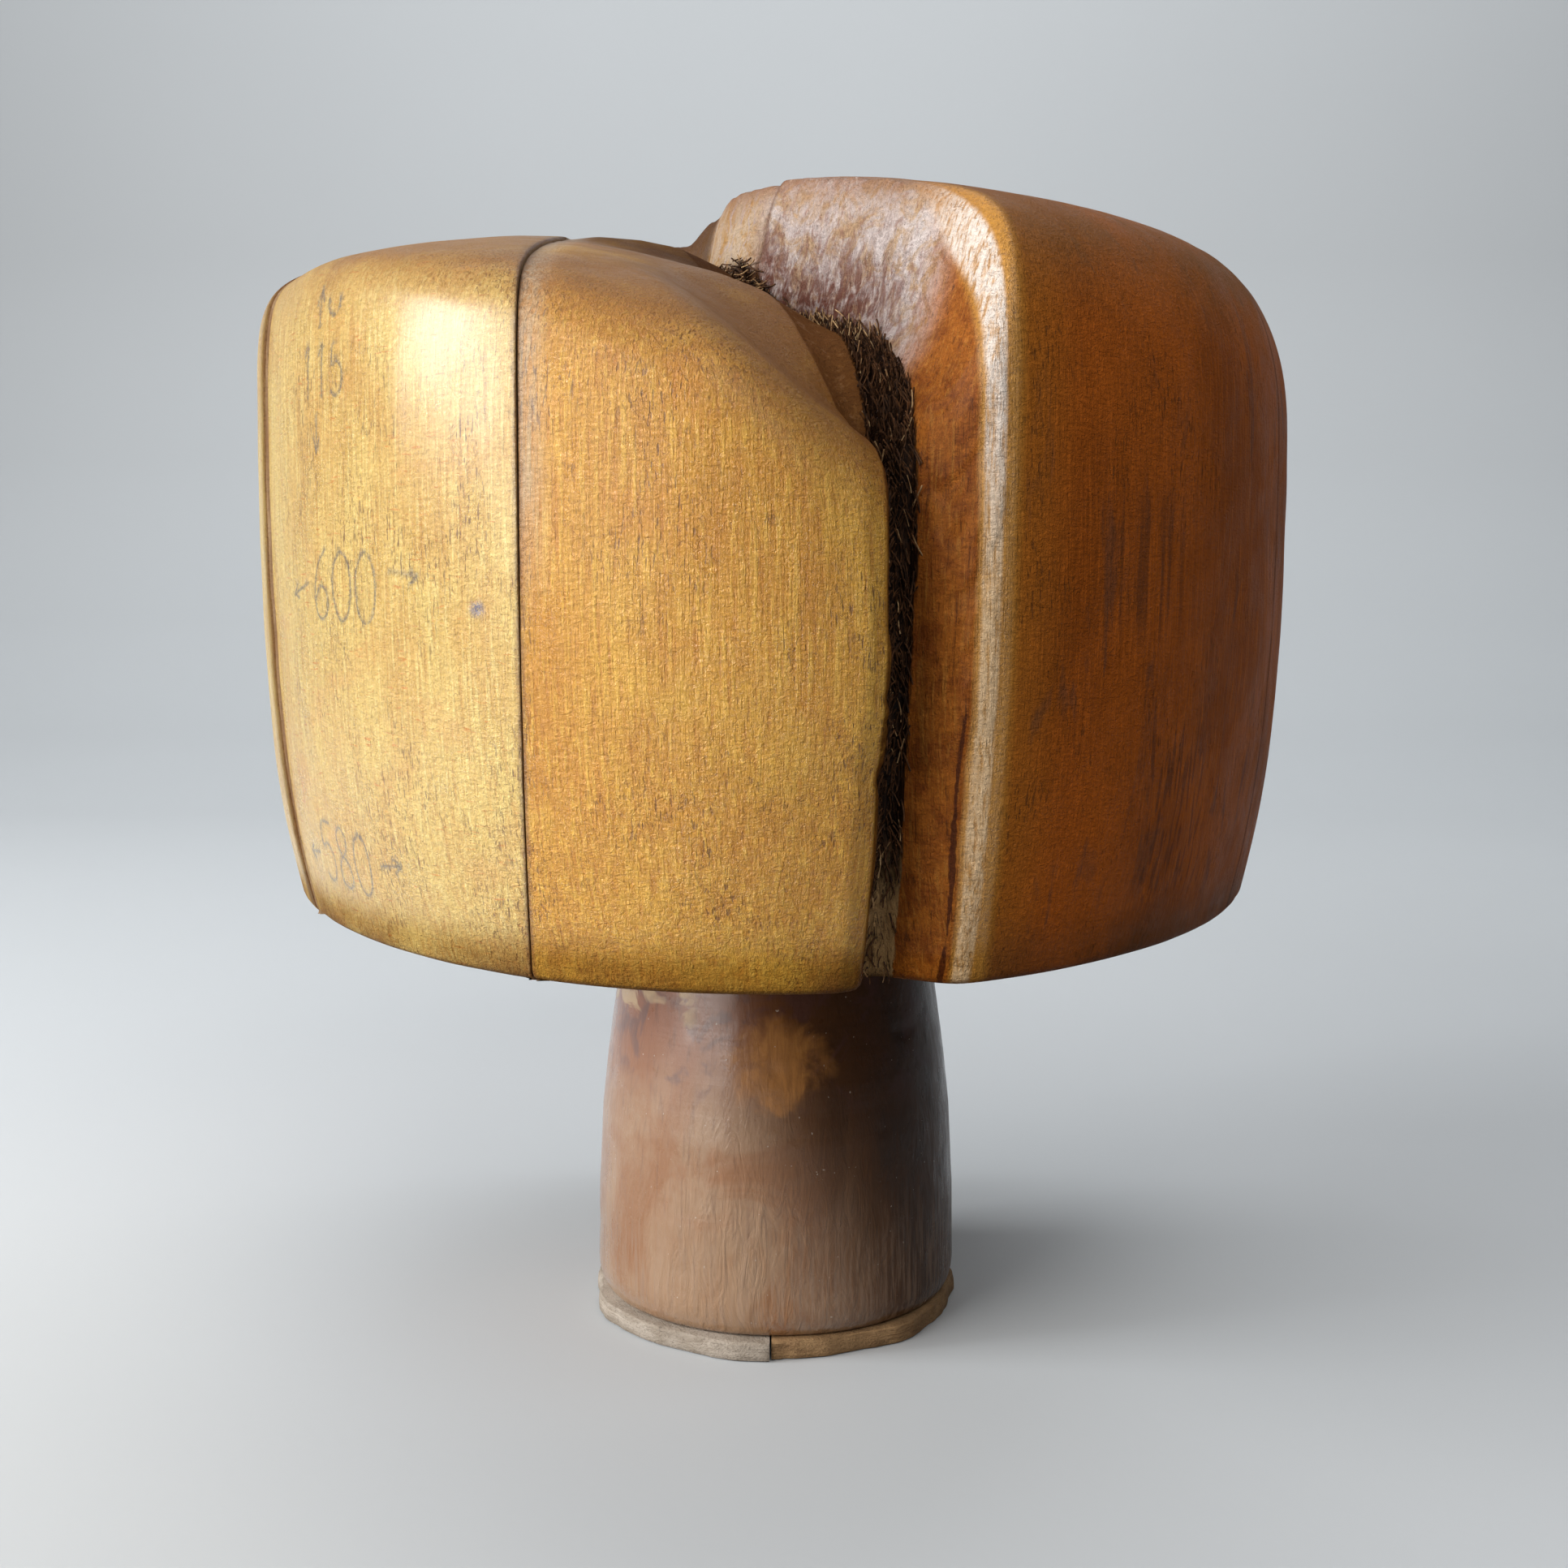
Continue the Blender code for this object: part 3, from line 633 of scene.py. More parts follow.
def cut_plane(bm, place, turn, clear_outer=False):
    """Cuts a mesh through by a plane, and gives the edges of the cut."""
    whole = [*bm.verts, *bm.edges, *bm.faces]
    cut = bmesh.ops.bisect_plane(
        bm, geom=whole, dist=1e-4, plane_co=place, plane_no=turn, clear_outer=clear_outer
    )
    return [item for item in cut["geom_cut"] if isinstance(item, bmesh.types.BMEdge)]


def fill_with_bare_wood(bm, edges, **settings):
    filled = bmesh.ops.triangle_fill(bm, edges=edges, use_beauty=True, **settings)["geom"]
    for item in filled:
        if isinstance(item, bmesh.types.BMFace):
            item.material_index = 1


def crown_mesh(settings):
    """The whole carved crown as one closed mesh, finer along the groove and the marks."""
    coarse, fine = DETAIL

    def too_long(flat, edges):
        points = blank_surface(*from_flat(flat))
        ends = points[edges]
        length = np.linalg.norm(ends[:, 0] - ends[:, 1], axis=1)
        middle = ends.mean(1)
        wanted = np.full(len(edges), coarse)
        check = length > fine * 0.99
        distance, along = from_wall(*middle[check].T)
        top = smoothstep(along, *SECTION_TURNS)
        groove = (distance > -6) & (distance < 17 - 5 * top) & (middle[check, 0] > WALL_ENDS_AT)
        groove &= middle[check, 1] < 30
        wanted[check] = np.where(groove, fine, wanted[check])
        marks = length > 0.24
        wanted[marks] = np.where(from_strokes(middle[marks]) < 0.45, MARK_DETAIL, wanted[marks])
        return length > wanted * 1.25

    flat, faces = split_long_edges(*first_sheet(), too_long)
    angle, share = from_flat(flat)
    points, distance, along, masks = crown_surface(angle, share, settings.tooling_depth / MM)
    points[share == 1.0, 2] = CROWN_FOOT
    facing = point_normals(points, faces)
    upward = abs(facing[:, 2]) / np.maximum(np.linalg.norm(facing, axis=1), 1e-12)
    mesh = bpy.data.meshes.new("crown")
    mesh.from_pydata(points, [], faces.tolist())
    for name, value in crown_masks(points, upward, share, distance, along, masks).items():
        add_layer(mesh, name, value)
    bm = bmesh.new()
    bm.from_mesh(mesh)
    fill_with_bare_wood(bm, [edge for edge in bm.edges if edge.is_boundary])
    bmesh.ops.recalc_face_normals(bm, faces=bm.faces)
    for above in FOOT_ROWS:
        cut_plane(bm, (0, 0, CROWN_FOOT + above), (0, 0, 1))
    bm.to_mesh(mesh)
    bm.free()
    return mesh


def closed_sides(low, high):
    """The sides of a box that aren't open, as (axis, place, direction)."""
    for axis in range(2):
        for limit, sign in ((low[axis], -1), (high[axis], 1)):
            if limit is not None:
                yield axis, limit, sign


def plane_across(axis, place, sign):
    """A point and the normal of a plane across one axis."""
    point, normal = [0.0, 0.0, 0.0], [0.0, 0.0, 0.0]
    point[axis], normal[axis] = place, sign
    return point, normal


def cut_cell(crown, low, high, radius):
    """The part of the crown inside a box that is open where a side is None, its cuts closed."""
    bm = bmesh.new()
    bm.from_mesh(crown)
    for axis, limit, sign in closed_sides(low, high):
        place, turn = plane_across(axis, limit, sign)
        fill_with_bare_wood(bm, cut_plane(bm, place, turn, clear_outer=True), normal=turn)
    for axis, limit, sign in closed_sides(low, high):
        for row in EDGE_ROWS:
            cut_plane(bm, *plane_across(axis, limit - sign * radius * row, sign))
    bmesh.ops.triangulate(bm, faces=[face for face in bm.faces if len(face.verts) > 3])
    bmesh.ops.recalc_face_normals(bm, faces=bm.faces)
    return bm


def round_over(normal, axis, off, wide, depth):
    """Moves that round an edge across one axis, at a distance from it."""
    flat = normal.copy()
    flat[:, axis] = 0
    near = np.clip(1 - off / wide, 0, 1)
    return flat * (depth * (1 - np.sqrt(np.clip(1 - near**2, 0, 1))))[:, None]


def ease_edges(mesh, low, high, radius, name):
    """Rounds the long edges of a segment, without moving anything across a seam."""
    points = read(mesh.vertices, "co", 3).astype(float)
    corners = read(mesh.polygons, "vertices", 3, np.int32)
    slots = read(mesh.polygons, "material_index", 1, np.int32)
    normal = point_normals(points, corners[slots == 0])
    size = np.linalg.norm(normal, axis=1)
    outside = size > 0
    normal[outside] /= size[outside, None]
    away = np.zeros(points.shape)
    seam = np.full(len(points), FAR)
    for axis, limit, _ in closed_sides(low, high):
        off = abs(points[:, axis] - limit)
        seam = np.minimum(seam, off)
        wide = radius * (1 + 0.5 * soft_noise(points, (6, 6, 9), 21))
        away += round_over(normal, axis, off, wide, wide * 0.8)
        if name == "front_piece" and axis == 0:
            upper_edge = 0.45 * (1 - smoothstep(off, 0, 5)) * smoothstep(points[:, 2], 110, 150)
            away += normal * (0, 1, 1) * upper_edge[:, None]
    off = points[:, 2] - CROWN_FOOT
    away += round_over(normal, 2, off, 1.4, 1.2)
    points[outside] -= away[outside]
    worn_and_lit = np.zeros(len(points))
    if name == "front_piece":
        # Painted highlight over wear along the front piece's eased upper edge by its seam.
        worn_and_lit = (1 - smoothstep(points[:, 0] - low[0], 1.0, 5.0)) * smoothstep(points[:, 2], 118, 140)
    if name == "left_side":
        points[:, 0] -= LEFT_PROUD * smoothstep(-points[:, 0], 66, 78)
        # Painted shade: a dark band on the left side along its front seam.
        shade = (1 - smoothstep(points[:, 1] - low[1], 0.5, 7.0)) * (points[:, 2] > CROWN_FOOT + 1)
        add_layer(mesh, "shaded_shoulder", shade * 0.8)
    if name == "key":
        points[:, 2] -= KEY_LOWER * smoothstep(points[:, 2], 155, 175)
    if name in ("back_piece", "right_side", "back_right_corner"):
        add_layer(mesh, "high", np.ones(len(points)))
    mesh.vertices.foreach_set("co", points.astype(np.float32).ravel())
    add_layer(mesh, "worn_and_lit_edge", worn_and_lit)
    rim = np.minimum(seam, np.where(points[:, 2] < 120, off, FAR))
    add_layer(mesh, "seam", 1 - smoothstep(rim, 0.05, 0.9))
    return points


def draw_marks(mesh, points):
    """The masks of the pencil marks and of the ink spot."""
    wobble = soft_noise(points, (1.1, 1.1, 1.1), 31) * 0.06
    add_layer(mesh, "pencil", 1 - smoothstep(from_strokes(points) + wobble, 0.1, 0.4))
    spot = np.linalg.norm((on_marked_face(points) - INK_SPOT[:2]) * (0.6, 1), axis=1)
    spot += soft_noise(points, (0.9, 0.9, 0.9), 32) * 0.5
    spot[points[:, 0] > -KEY_HALF_WIDTH] = FAR
    add_layer(mesh, "ink", 1 - smoothstep(spot, INK_SPOT[2] * 0.3, INK_SPOT[2]))


def to_metres(mesh):
    mesh.vertices.foreach_set("co", read(mesh.vertices, "co", 3).ravel() * MM)
    mesh.update()


def finished(obj):
    """Turns an object's modifiers into its mesh."""
    graph = bpy.context.evaluated_depsgraph_get()
    made = bpy.data.meshes.new_from_object(obj.evaluated_get(graph))
    obj.modifiers.clear()
    old = obj.data
    obj.data = made
    made.name = obj.name
    bpy.data.meshes.remove(old)


def object_of(bm, name, group, slot=None):
    """Turns a bmesh into an object in a collection, all of it with one material if a slot is given."""
    if slot is not None:
        for face in bm.faces:
            face.material_index = slot
    mesh = bpy.data.meshes.new(name)
    bm.to_mesh(mesh)
    bm.free()
    obj = bpy.data.objects.new(name, mesh)
    group.objects.link(obj)
    return obj


def block(name, group, low, high, slot=0, bevel=0.0):
    """A box between two corners, in millimetres."""
    bm = bmesh.new()
    bmesh.ops.create_cube(bm, size=1.0)
    low, high = np.array(low, float), np.array(high, float)
    bmesh.ops.scale(bm, vec=high - low, verts=bm.verts)
    bmesh.ops.translate(bm, vec=(low + high) / 2, verts=bm.verts)
    if bevel:
        bmesh.ops.bevel(bm, geom=bm.edges, offset=bevel, segments=3, profile=0.6, affect="EDGES")
    bmesh.ops.scale(bm, vec=(MM, MM, MM), verts=bm.verts)
    return object_of(bm, name, group, slot)


def rod(name, group, radius, half_length, height, slot=0, bevel=0.0):
    """A rod along X, in millimetres."""
    bm = bmesh.new()
    bmesh.ops.create_cone(
        bm, cap_ends=True, segments=64, radius1=radius, radius2=radius, depth=2 * half_length
    )
    if bevel:
        rims = [e for e in bm.edges if abs(e.verts[0].co.z - e.verts[1].co.z) < 1e-6]
        bmesh.ops.bevel(bm, geom=rims, offset=bevel, segments=2, profile=0.5, affect="EDGES")
    for vert in bm.verts:
        x, y, z = vert.co
        vert.co = (z * MM, y * MM, (height - x) * MM)
    bmesh.ops.recalc_face_normals(bm, faces=bm.faces)
    return object_of(bm, name, group, slot)


def revolved(name, group, profile, steps, slot=0, wobble=None):
    """A turned solid from (radius, height) pairs that start and end on the axis, in millimetres."""
    profile = np.array(profile, float)
    turns = np.arange(steps) * 2 * math.pi / steps
    points = [(0, 0, profile[0, 1])]
    for radius, height in profile[1:-1]:
        radii = np.full(steps, radius)
        if wobble is not None:
            radii = wobble(radii, turns, height)
        points.extend(zip(radii * np.cos(turns), radii * np.sin(turns), np.full(steps, height)))
    points.append((0, 0, profile[-1, 1]))
    rows = len(profile) - 2
    faces = [(0, 1 + i, 1 + (i + 1) % steps) for i in range(steps)]
    for row in range(rows - 1):
        first = 1 + row * steps
        for i in range(steps):
            j = (i + 1) % steps
            faces.append((first + i, first + steps + i, first + steps + j, first + j))
    last = 1 + (rows - 1) * steps
    end = len(points) - 1
    faces.extend((end, last + (i + 1) % steps, last + i) for i in range(steps))
    mesh = bpy.data.meshes.new("turned")
    mesh.from_pydata([tuple(np.array(p) * MM) for p in points], [], faces)
    bm = bmesh.new()
    bm.from_mesh(mesh)
    bpy.data.meshes.remove(mesh)
    bmesh.ops.recalc_face_normals(bm, faces=bm.faces)
    return object_of(bm, name, group, slot)


def subtract(obj, cutter):
    cut = obj.modifiers.new(cutter.name, "BOOLEAN")
    cut.operation = "DIFFERENCE"
    cut.solver = "MANIFOLD"
    cut.object = cutter


class Nodes:
    """Adds nodes to a tree and joins them up."""

    def __init__(self, tree):
        self.tree = tree

    def add(self, kind, inputs=None, **settings):
        """Adds a node, joins or sets its inputs, and gives its outputs."""
        node = self.tree.nodes.new(kind)
        for key, value in settings.items():
            setattr(node, key, value)
        for key, value in (inputs or {}).items():
            self.join(value, node.inputs[key])
        return node.outputs

    def join(self, source, socket):
        """Links an output, or sets a plain value."""
        if isinstance(source, bpy.types.NodeSocket):
            self.tree.links.new(source, socket)
        elif socket.type == "RGBA" and len(source) == 3:
            socket.default_value = (*source, 1.0)
        else:
            socket.default_value = source

    def math(self, operation, a, b=None, clamp=False):
        inputs = {0: a} if b is None else {0: a, 1: b}
        return self.add("ShaderNodeMath", inputs, operation=operation, use_clamp=clamp)[0]


class Finish(Nodes):
    """One material."""

    def __init__(self, name):
        self.material = bpy.data.materials.new(name)
        self.material.use_nodes = True
        super().__init__(self.material.node_tree)
        self.shader = self.tree.nodes["Principled BSDF"]
        self.place = self.add("ShaderNodeTexCoord")["Object"]

    def mask(self, name):
        return self.add("ShaderNodeAttribute", attribute_name=name)["Fac"]

    def noise(self, size, detail=2.0, roughness=0.5, distortion=0.0, shift=(0, 0, 0)):
        """Noise whose bumps are size millimetres wide along each axis."""
        scale = [1 / (s * MM) for s in size]
        place = self.add("ShaderNodeMapping", {"Vector": self.place, "Location": shift, "Scale": scale})
        inputs = {"Vector": place[0], "Scale": 1.0, "Detail": detail, "Roughness": roughness}
        return self.add("ShaderNodeTexNoise", {**inputs, "Distortion": distortion})["Fac"]

    def span(self, value, low, high, to_low=0.0, to_high=1.0):
        """Brings a value smoothly from one range to another, held at the ends."""
        inputs = {"Value": value, "From Min": low, "From Max": high, "To Min": to_low, "To Max": to_high}
        return self.add("ShaderNodeMapRange", inputs, interpolation_type="SMOOTHSTEP")["Result"]

    def mix(self, factor, a, b):
        return self.add("ShaderNodeMix", {"Factor": factor, 6: a, 7: b}, data_type="RGBA")[2]

    def times(self, *values):
        result = values[0]
        for value in values[1:]:
            result = self.math("MULTIPLY", result, value)
        return result

    def over(self, colour, paint, *masks):
        """Lays paint over a colour, as strongly as the product of the masks."""
        return self.mix(self.times(*masks), colour, paint)

    def patchy(self, name, noise, *limits):
        """A mask of the mesh, broken up by a noise."""
        return self.times(self.mask(name), self.span(noise, *limits))

    def axis(self, letter):
        return self.add("ShaderNodeSeparateXYZ", {0: self.place})[letter]

    def bump(self, height, distance, onto=None, strength=1.0):
        """Relief of so many millimetres."""
        inputs = {"Strength": strength, "Distance": distance * MM, "Height": height}
        if onto is not None:
            inputs["Normal"] = onto
        return self.add("ShaderNodeBump", inputs)["Normal"]

    def done(self, colour, roughness, normal, specular=None, coat=None, coat_roughness=None):
        sockets = {
            "Base Color": colour, "Roughness": roughness, "Normal": normal,
            "Specular IOR Level": specular, "Coat Weight": coat, "Coat Roughness": coat_roughness,
        }
        for name, value in sockets.items():
            if value is not None:
                self.join(value, self.shader.inputs[name])
        return self.material


def tint(colour, factors):
    """A colour times one factor, or one for each channel, held at 1."""
    return [min(1, c * f) for c, f in zip(colour, np.broadcast_to(factors, 3))]


class Maple(Finish):
    """The noises and masks that the layers of the crown's varnished wood share."""

    def __init__(self, name, seed):
        super().__init__(name)
        self.seed = seed
        self.shift = (seed * 3.1, seed * 1.7, seed * 0.9)
        self.clouds = self.noise((26, 26, 34), 4, 0.6, 0.6, self.shift)
        self.streaks = self.noise((0.55, 0.55, 11), 3, 0.65, 0.3, self.shift)
        self.broad = self.noise((2.2, 2.2, 40), 3, 0.6, 0.8, self.shift)
        self.fibre = self.noise((0.22, 0.22, 3.2), 2, 0.6, 0.0, self.shift)
        self.scuff = self.noise((1.6, 1.6, 3.2), 4, 0.7, 0.8, self.shift)
        self.mottle = self.noise((2.0, 2.0, 3.4), 4, 0.7, 1.0, (seed, 1.0, 3.0))
        self.tear = self.noise((0.7, 0.7, 6.5), 4, 0.75, 1.3, (seed, 4.0, 2.0))
        dense = self.span(self.noise((13, 13, 17), 3, 0.6, 0.4, self.shift), 0.42, 0.64)
        pores = self.noise((0.34, 0.34, 1.9), 1, 0.5, 0.1, self.shift)
        self.pores = self.times(self.span(pores, 0.61, 0.68), dense)
        specks = self.noise((0.75, 0.75, 1.0), 3, 0.7, 0.9, self.shift)
        self.specks = self.times(self.span(specks, 0.57, 0.66), self.span(dense, 0.0, 1.0, 0.4, 1.0))
        self.high = self.mask("high")
        rubbed_and_shaded = self.span(self.scuff, 0.3, 0.5, 0.55, 1.0)
        self.lip = self.times(self.span(self.mask("lip"), 0.1, 0.75), rubbed_and_shaded)
        self.wall = self.span(self.mask("wall"), 0.1, 0.7)
        self.bend = self.patchy("bend", self.clouds, 0.2, 0.5, 0.75, 1.0)
        torn = self.math("ADD", self.mask("dark"), self.span(self.tear, 0.3, 0.7, -0.25, 0.25))
        self.dark = self.span(torn, 0.25, 0.65)
        uneven = self.span(self.noise((2.5, 2.5, 7), 3, 0.7, 0.5, self.shift), 0.25, 0.75, -0.22, 0.12)
        self.crack = self.span(self.math("ADD", self.mask("crack"), uneven), 0.72, 0.84)


def maple_grain(m, pale, deep, fleck_strength):
    """The wood under its varnish: clouds, streaks, flecks and redder patches."""
    colour = m.mix(m.span(m.clouds, 0.33, 0.7), pale, deep)
    colour = m.over(colour, tint(deep, (0.85, 0.72, 0.6)), m.span(m.broad, 0.4, 0.75, 0, 0.35))
    colour = m.over(colour, tint(pale, (1.2, 1.32, 1.7)), m.span(m.streaks, 0.5, 0.66, 0, 0.55))
    colour = m.over(colour, tint(deep, (0.76, 0.6, 0.42)), m.span(m.streaks, 0.47, 0.33, 0, 0.5))
    flecks = m.span(m.noise((3.4, 3.4, 0.42), 2, 0.55, 0.5, m.shift), 0.63, 0.74)
    colour = m.over(colour, tint(deep, (0.95, 0.6, 0.35)), flecks, fleck_strength)
    red = m.noise((19, 19, 13), 3, 0.6, 0.5, (m.seed, 2.0, 5.0))
    return m.over(colour, tint(deep, (0.95, 0.55, 0.5)), m.span(red, 0.56, 0.74, 0, 0.22))


def high_lobe(m, colour, brown):
    """The browner varnish of the high lobe, golden along the ridge and greyed in places."""
    paint = m.mix(m.span(m.clouds, 0.3, 0.7), brown, tint(brown, 0.62))
    paint = m.over(paint, tint(brown, 1.45), m.span(m.streaks, 0.45, 0.7, 0, 0.4))
    paint = m.over(paint, (0.5, 0.185, 0.024), m.mask("near_ridge"), 0.7)
    grey = m.span(m.noise((5, 5, 26), 3, 0.6, 0.9, (m.seed, 7.0, 1.0)), 0.58, 0.72)
    paint = m.over(paint, (0.11, 0.065, 0.045), grey, 0.5)
    return m.over(colour, paint, m.span(m.high, 0.02, 0.55))


def specks_and_darker_rims(m, colour, deep):
    """Specks and pores, the top painted darker (painted shade where it faces up, over browner dirtied
    varnish) and a darker band at the foot.
    """
    colour = m.over(colour, tint(deep, (0.6, 0.42, 0.3)), m.specks, 0.42)
    colour = m.over(colour, (0.16, 0.06, 0.018), m.pores, 0.75)
    # Painted shade over browner dirt: the up-facing top of the crown darker.
    colour = m.over(colour, (0.3, 0.125, 0.034), m.patchy("crest", m.clouds, 0.25, 0.6, 0.55, 1.0), 0.85)
    return m.over(colour, (0.15, 0.058, 0.018), m.patchy("foot", m.clouds, 0.3, 0.65, 0.5, 1.0), 0.9)


def ridge_wear_and_highlight(m, colour):
    """The ridge beside the groove: golden beside it, pale on it from wear with a painted highlight, and
    nicked; the lip across the groove darker, its rounding with painted shade.
    """
    bare = m.span(m.math("ADD", m.scuff, m.streaks), 0.75, 1.15, 0.35, 1.0)
    worn_and_lit = m.times(m.span(m.mask("ridge"), 0.15, 0.8), bare)
    colour = m.over(colour, (0.6, 0.28, 0.05), m.patchy("rim", m.streaks, 0.3, 0.6, 0.6, 0.95))
    # Pale wear with a painted highlight on the ridge, whiter higher up.
    bleached_and_highlit = m.mix(m.span(m.axis("Z"), 0.12, 0.15), (0.94, 0.68, 0.4), (0.95, 0.87, 0.8))
    bleached_and_highlit = m.over(bleached_and_highlit, (0.4, 0.2, 0.07), m.span(m.streaks, 0.48, 0.32, 0, 0.7))
    colour = m.over(colour, bleached_and_highlit, worn_and_lit, m.span(m.mask("brow"), 0.0, 0.7, 0.85, 0.3))
    nick = m.span(m.noise((1.6, 1.6, 0.45), 3, 0.75, 1.6, (m.seed, 6.0, 6.0)), 0.58, 0.66)
    colour = m.over(colour, (0.2, 0.1, 0.05), nick, m.span(m.mask("rim"), 0.3, 0.8), 0.55)
    # Painted shade on the lip's rounding, over its darker wear.
    return m.over(colour, (0.16, 0.062, 0.02), m.lip, 0.85)


def groove_wall(m, colour, deep_stain):
    """The groove's wall: pale and mottled on top, varnished brown down the front."""
    blot = m.noise((5.5, 5.5, 4.5), 4, 0.7, 0.8, (m.seed, 3.0, 8.0))
    top = m.mix(m.span(blot, 0.42, 0.64), (0.86, 0.77, 0.74), (0.68, 0.47, 0.28))
    top = m.over(top, (0.38, 0.2, 0.16), m.span(m.mottle, 0.5, 0.66, 0, 0.55))
    top = m.over(top, deep_stain, m.patchy("deep", m.mottle, 0.3, 0.6, 0.45, 1.0))
    cheek = m.mix(m.span(blot, 0.32, 0.6), (0.5, 0.27, 0.09), (0.6, 0.44, 0.3))
    cheek = m.over(cheek, (0.56, 0.45, 0.44), m.span(m.mottle, 0.5, 0.66, 0, 0.7))
    top = m.over(top, cheek, m.mask("cheek"))
    front = m.mix(m.span(blot, 0.38, 0.66), (0.44, 0.135, 0.016), (0.27, 0.07, 0.009))
    front = m.over(front, (0.56, 0.23, 0.04), m.span(m.streaks, 0.5, 0.7, 0, 0.6))
    front = m.over(front, (0.09, 0.026, 0.006), m.span(m.streaks, 0.42, 0.3, 0, 0.7))
    colour = m.over(colour, m.mix(m.span(m.mask("upper"), 0.1, 0.6), front, top), m.wall)
    # Painted shade: the high lobe's top beyond the ridge darker where it faces up.
    colour = m.over(colour, (0.3, 0.13, 0.06), m.patchy("brow", m.scuff, 0.25, 0.5, 0.6, 1.0), 0.85)
    return m.over(colour, (0.075, 0.016, 0.004), m.crack, 0.9)


def shaded_shoulder_and_stains(m, colour):
    """Painted shade, nearly black, where the low lobe's top faces up beside the bend, and a smudge and drawn
    lines on the right.
    """
    shaded_shoulder = m.patchy("shaded_shoulder", m.clouds, 0.25, 0.55, 0.75, 1.0)
    # Painted shade on the low lobe's up-facing edge beside the groove.
    colour = m.over(colour, (0.075, 0.026, 0.008), shaded_shoulder, 0.96)
    colour = m.over(colour, (0.09, 0.038, 0.018), m.patchy("stain", m.broad, 0.42, 0.6), 0.5)
    drawn = m.patchy("lines", m.noise((0.9, 0.9, 60), 1, 0.5, 0.0, m.shift), 0.55, 0.6)
    return m.over(colour, (0.05, 0.025, 0.015), drawn, 0.45)


def torn_floor(m, colour):
    """The torn floor of the groove: dark torn wood, nearly black with painted shade deep in the groove, with
    pale split wood at its foot; and the bend, dark brown with painted shade over dirt.
    """
    paint = m.mix(m.span(m.tear, 0.48, 0.66), (0.016, 0.007, 0.004), (0.11, 0.048, 0.02))
    paint = m.over(paint, (0.46, 0.28, 0.13), m.span(m.tear, 0.64, 0.76))
    split = m.times(m.span(m.axis("Z"), 0.095, 0.082), m.span(m.tear, 0.32, 0.48))
    paint = m.over(paint, (0.72, 0.45, 0.2), split, 0.9)
    # Painted shade over dark torn wood on the groove's floor.
    colour = m.over(colour, paint, m.dark)
    # Painted shade over groove dirt where the groove bends away behind the key.
    return m.over(colour, (0.085, 0.034, 0.012), m.bend, 0.85)


def edges_and_marks(m, colour, pencil_strength):
    """Paler eased edges (a painted highlight over wear), dirt in the seams, the pencil marks and the ink
    spot.
    """
    # Painted highlight over wear on the front piece's eased edge.
    colour = m.over(colour, (0.5, 0.4, 0.3), m.patchy("worn_and_lit_edge", m.streaks, 0.35, 0.6, 0.35, 1.0), 0.6)
    colour = m.over(colour, (0.15, 0.062, 0.026), m.patchy("seam", m.scuff, 0.25, 0.6, 0.35, 0.9), 0.8)
    grit = m.span(m.noise((0.3, 0.3, 0.3), 2, 0.7), 0.34, 0.55, 0.35, 1.0)
    colour = m.over(colour, (0.09, 0.09, 0.1), m.mask("pencil"), grit, pencil_strength)
    return m.over(colour, (0.05, 0.09, 0.25), m.mask("ink"), grit, 0.8)


def maple_relief(m, scratches):
    """Wrinkled varnish over grain, pores, scratches and the torn and chipped wood of the groove."""
    linen = m.noise((1.3, 1.3, 0.6), 4, 0.7, 1.1, m.shift)
    wrinkle = m.noise((0.55, 0.55, 0.8), 3, 0.6, 0.7, m.shift)
    normal = m.bump(m.math("ADD", m.times(wrinkle, 0.6), linen), 0.46)
    normal = m.bump(m.math("ADD", m.streaks, m.times(m.fibre, 0.6)), 0.22, normal)
    normal = m.bump(m.times(m.math("MAXIMUM", m.pores, m.specks), -1.0), 0.07, normal)
    cut_in = m.math("MAXIMUM", scratches, m.times(m.crack, 8.0))
    normal = m.bump(m.times(cut_in, -0.5), 0.03, normal, 0.6)
    normal = m.bump(m.times(m.tear, m.dark), 1.1, normal)
    return m.bump(m.times(m.math("ADD", m.mottle, m.fibre), m.wall), 0.16, normal)


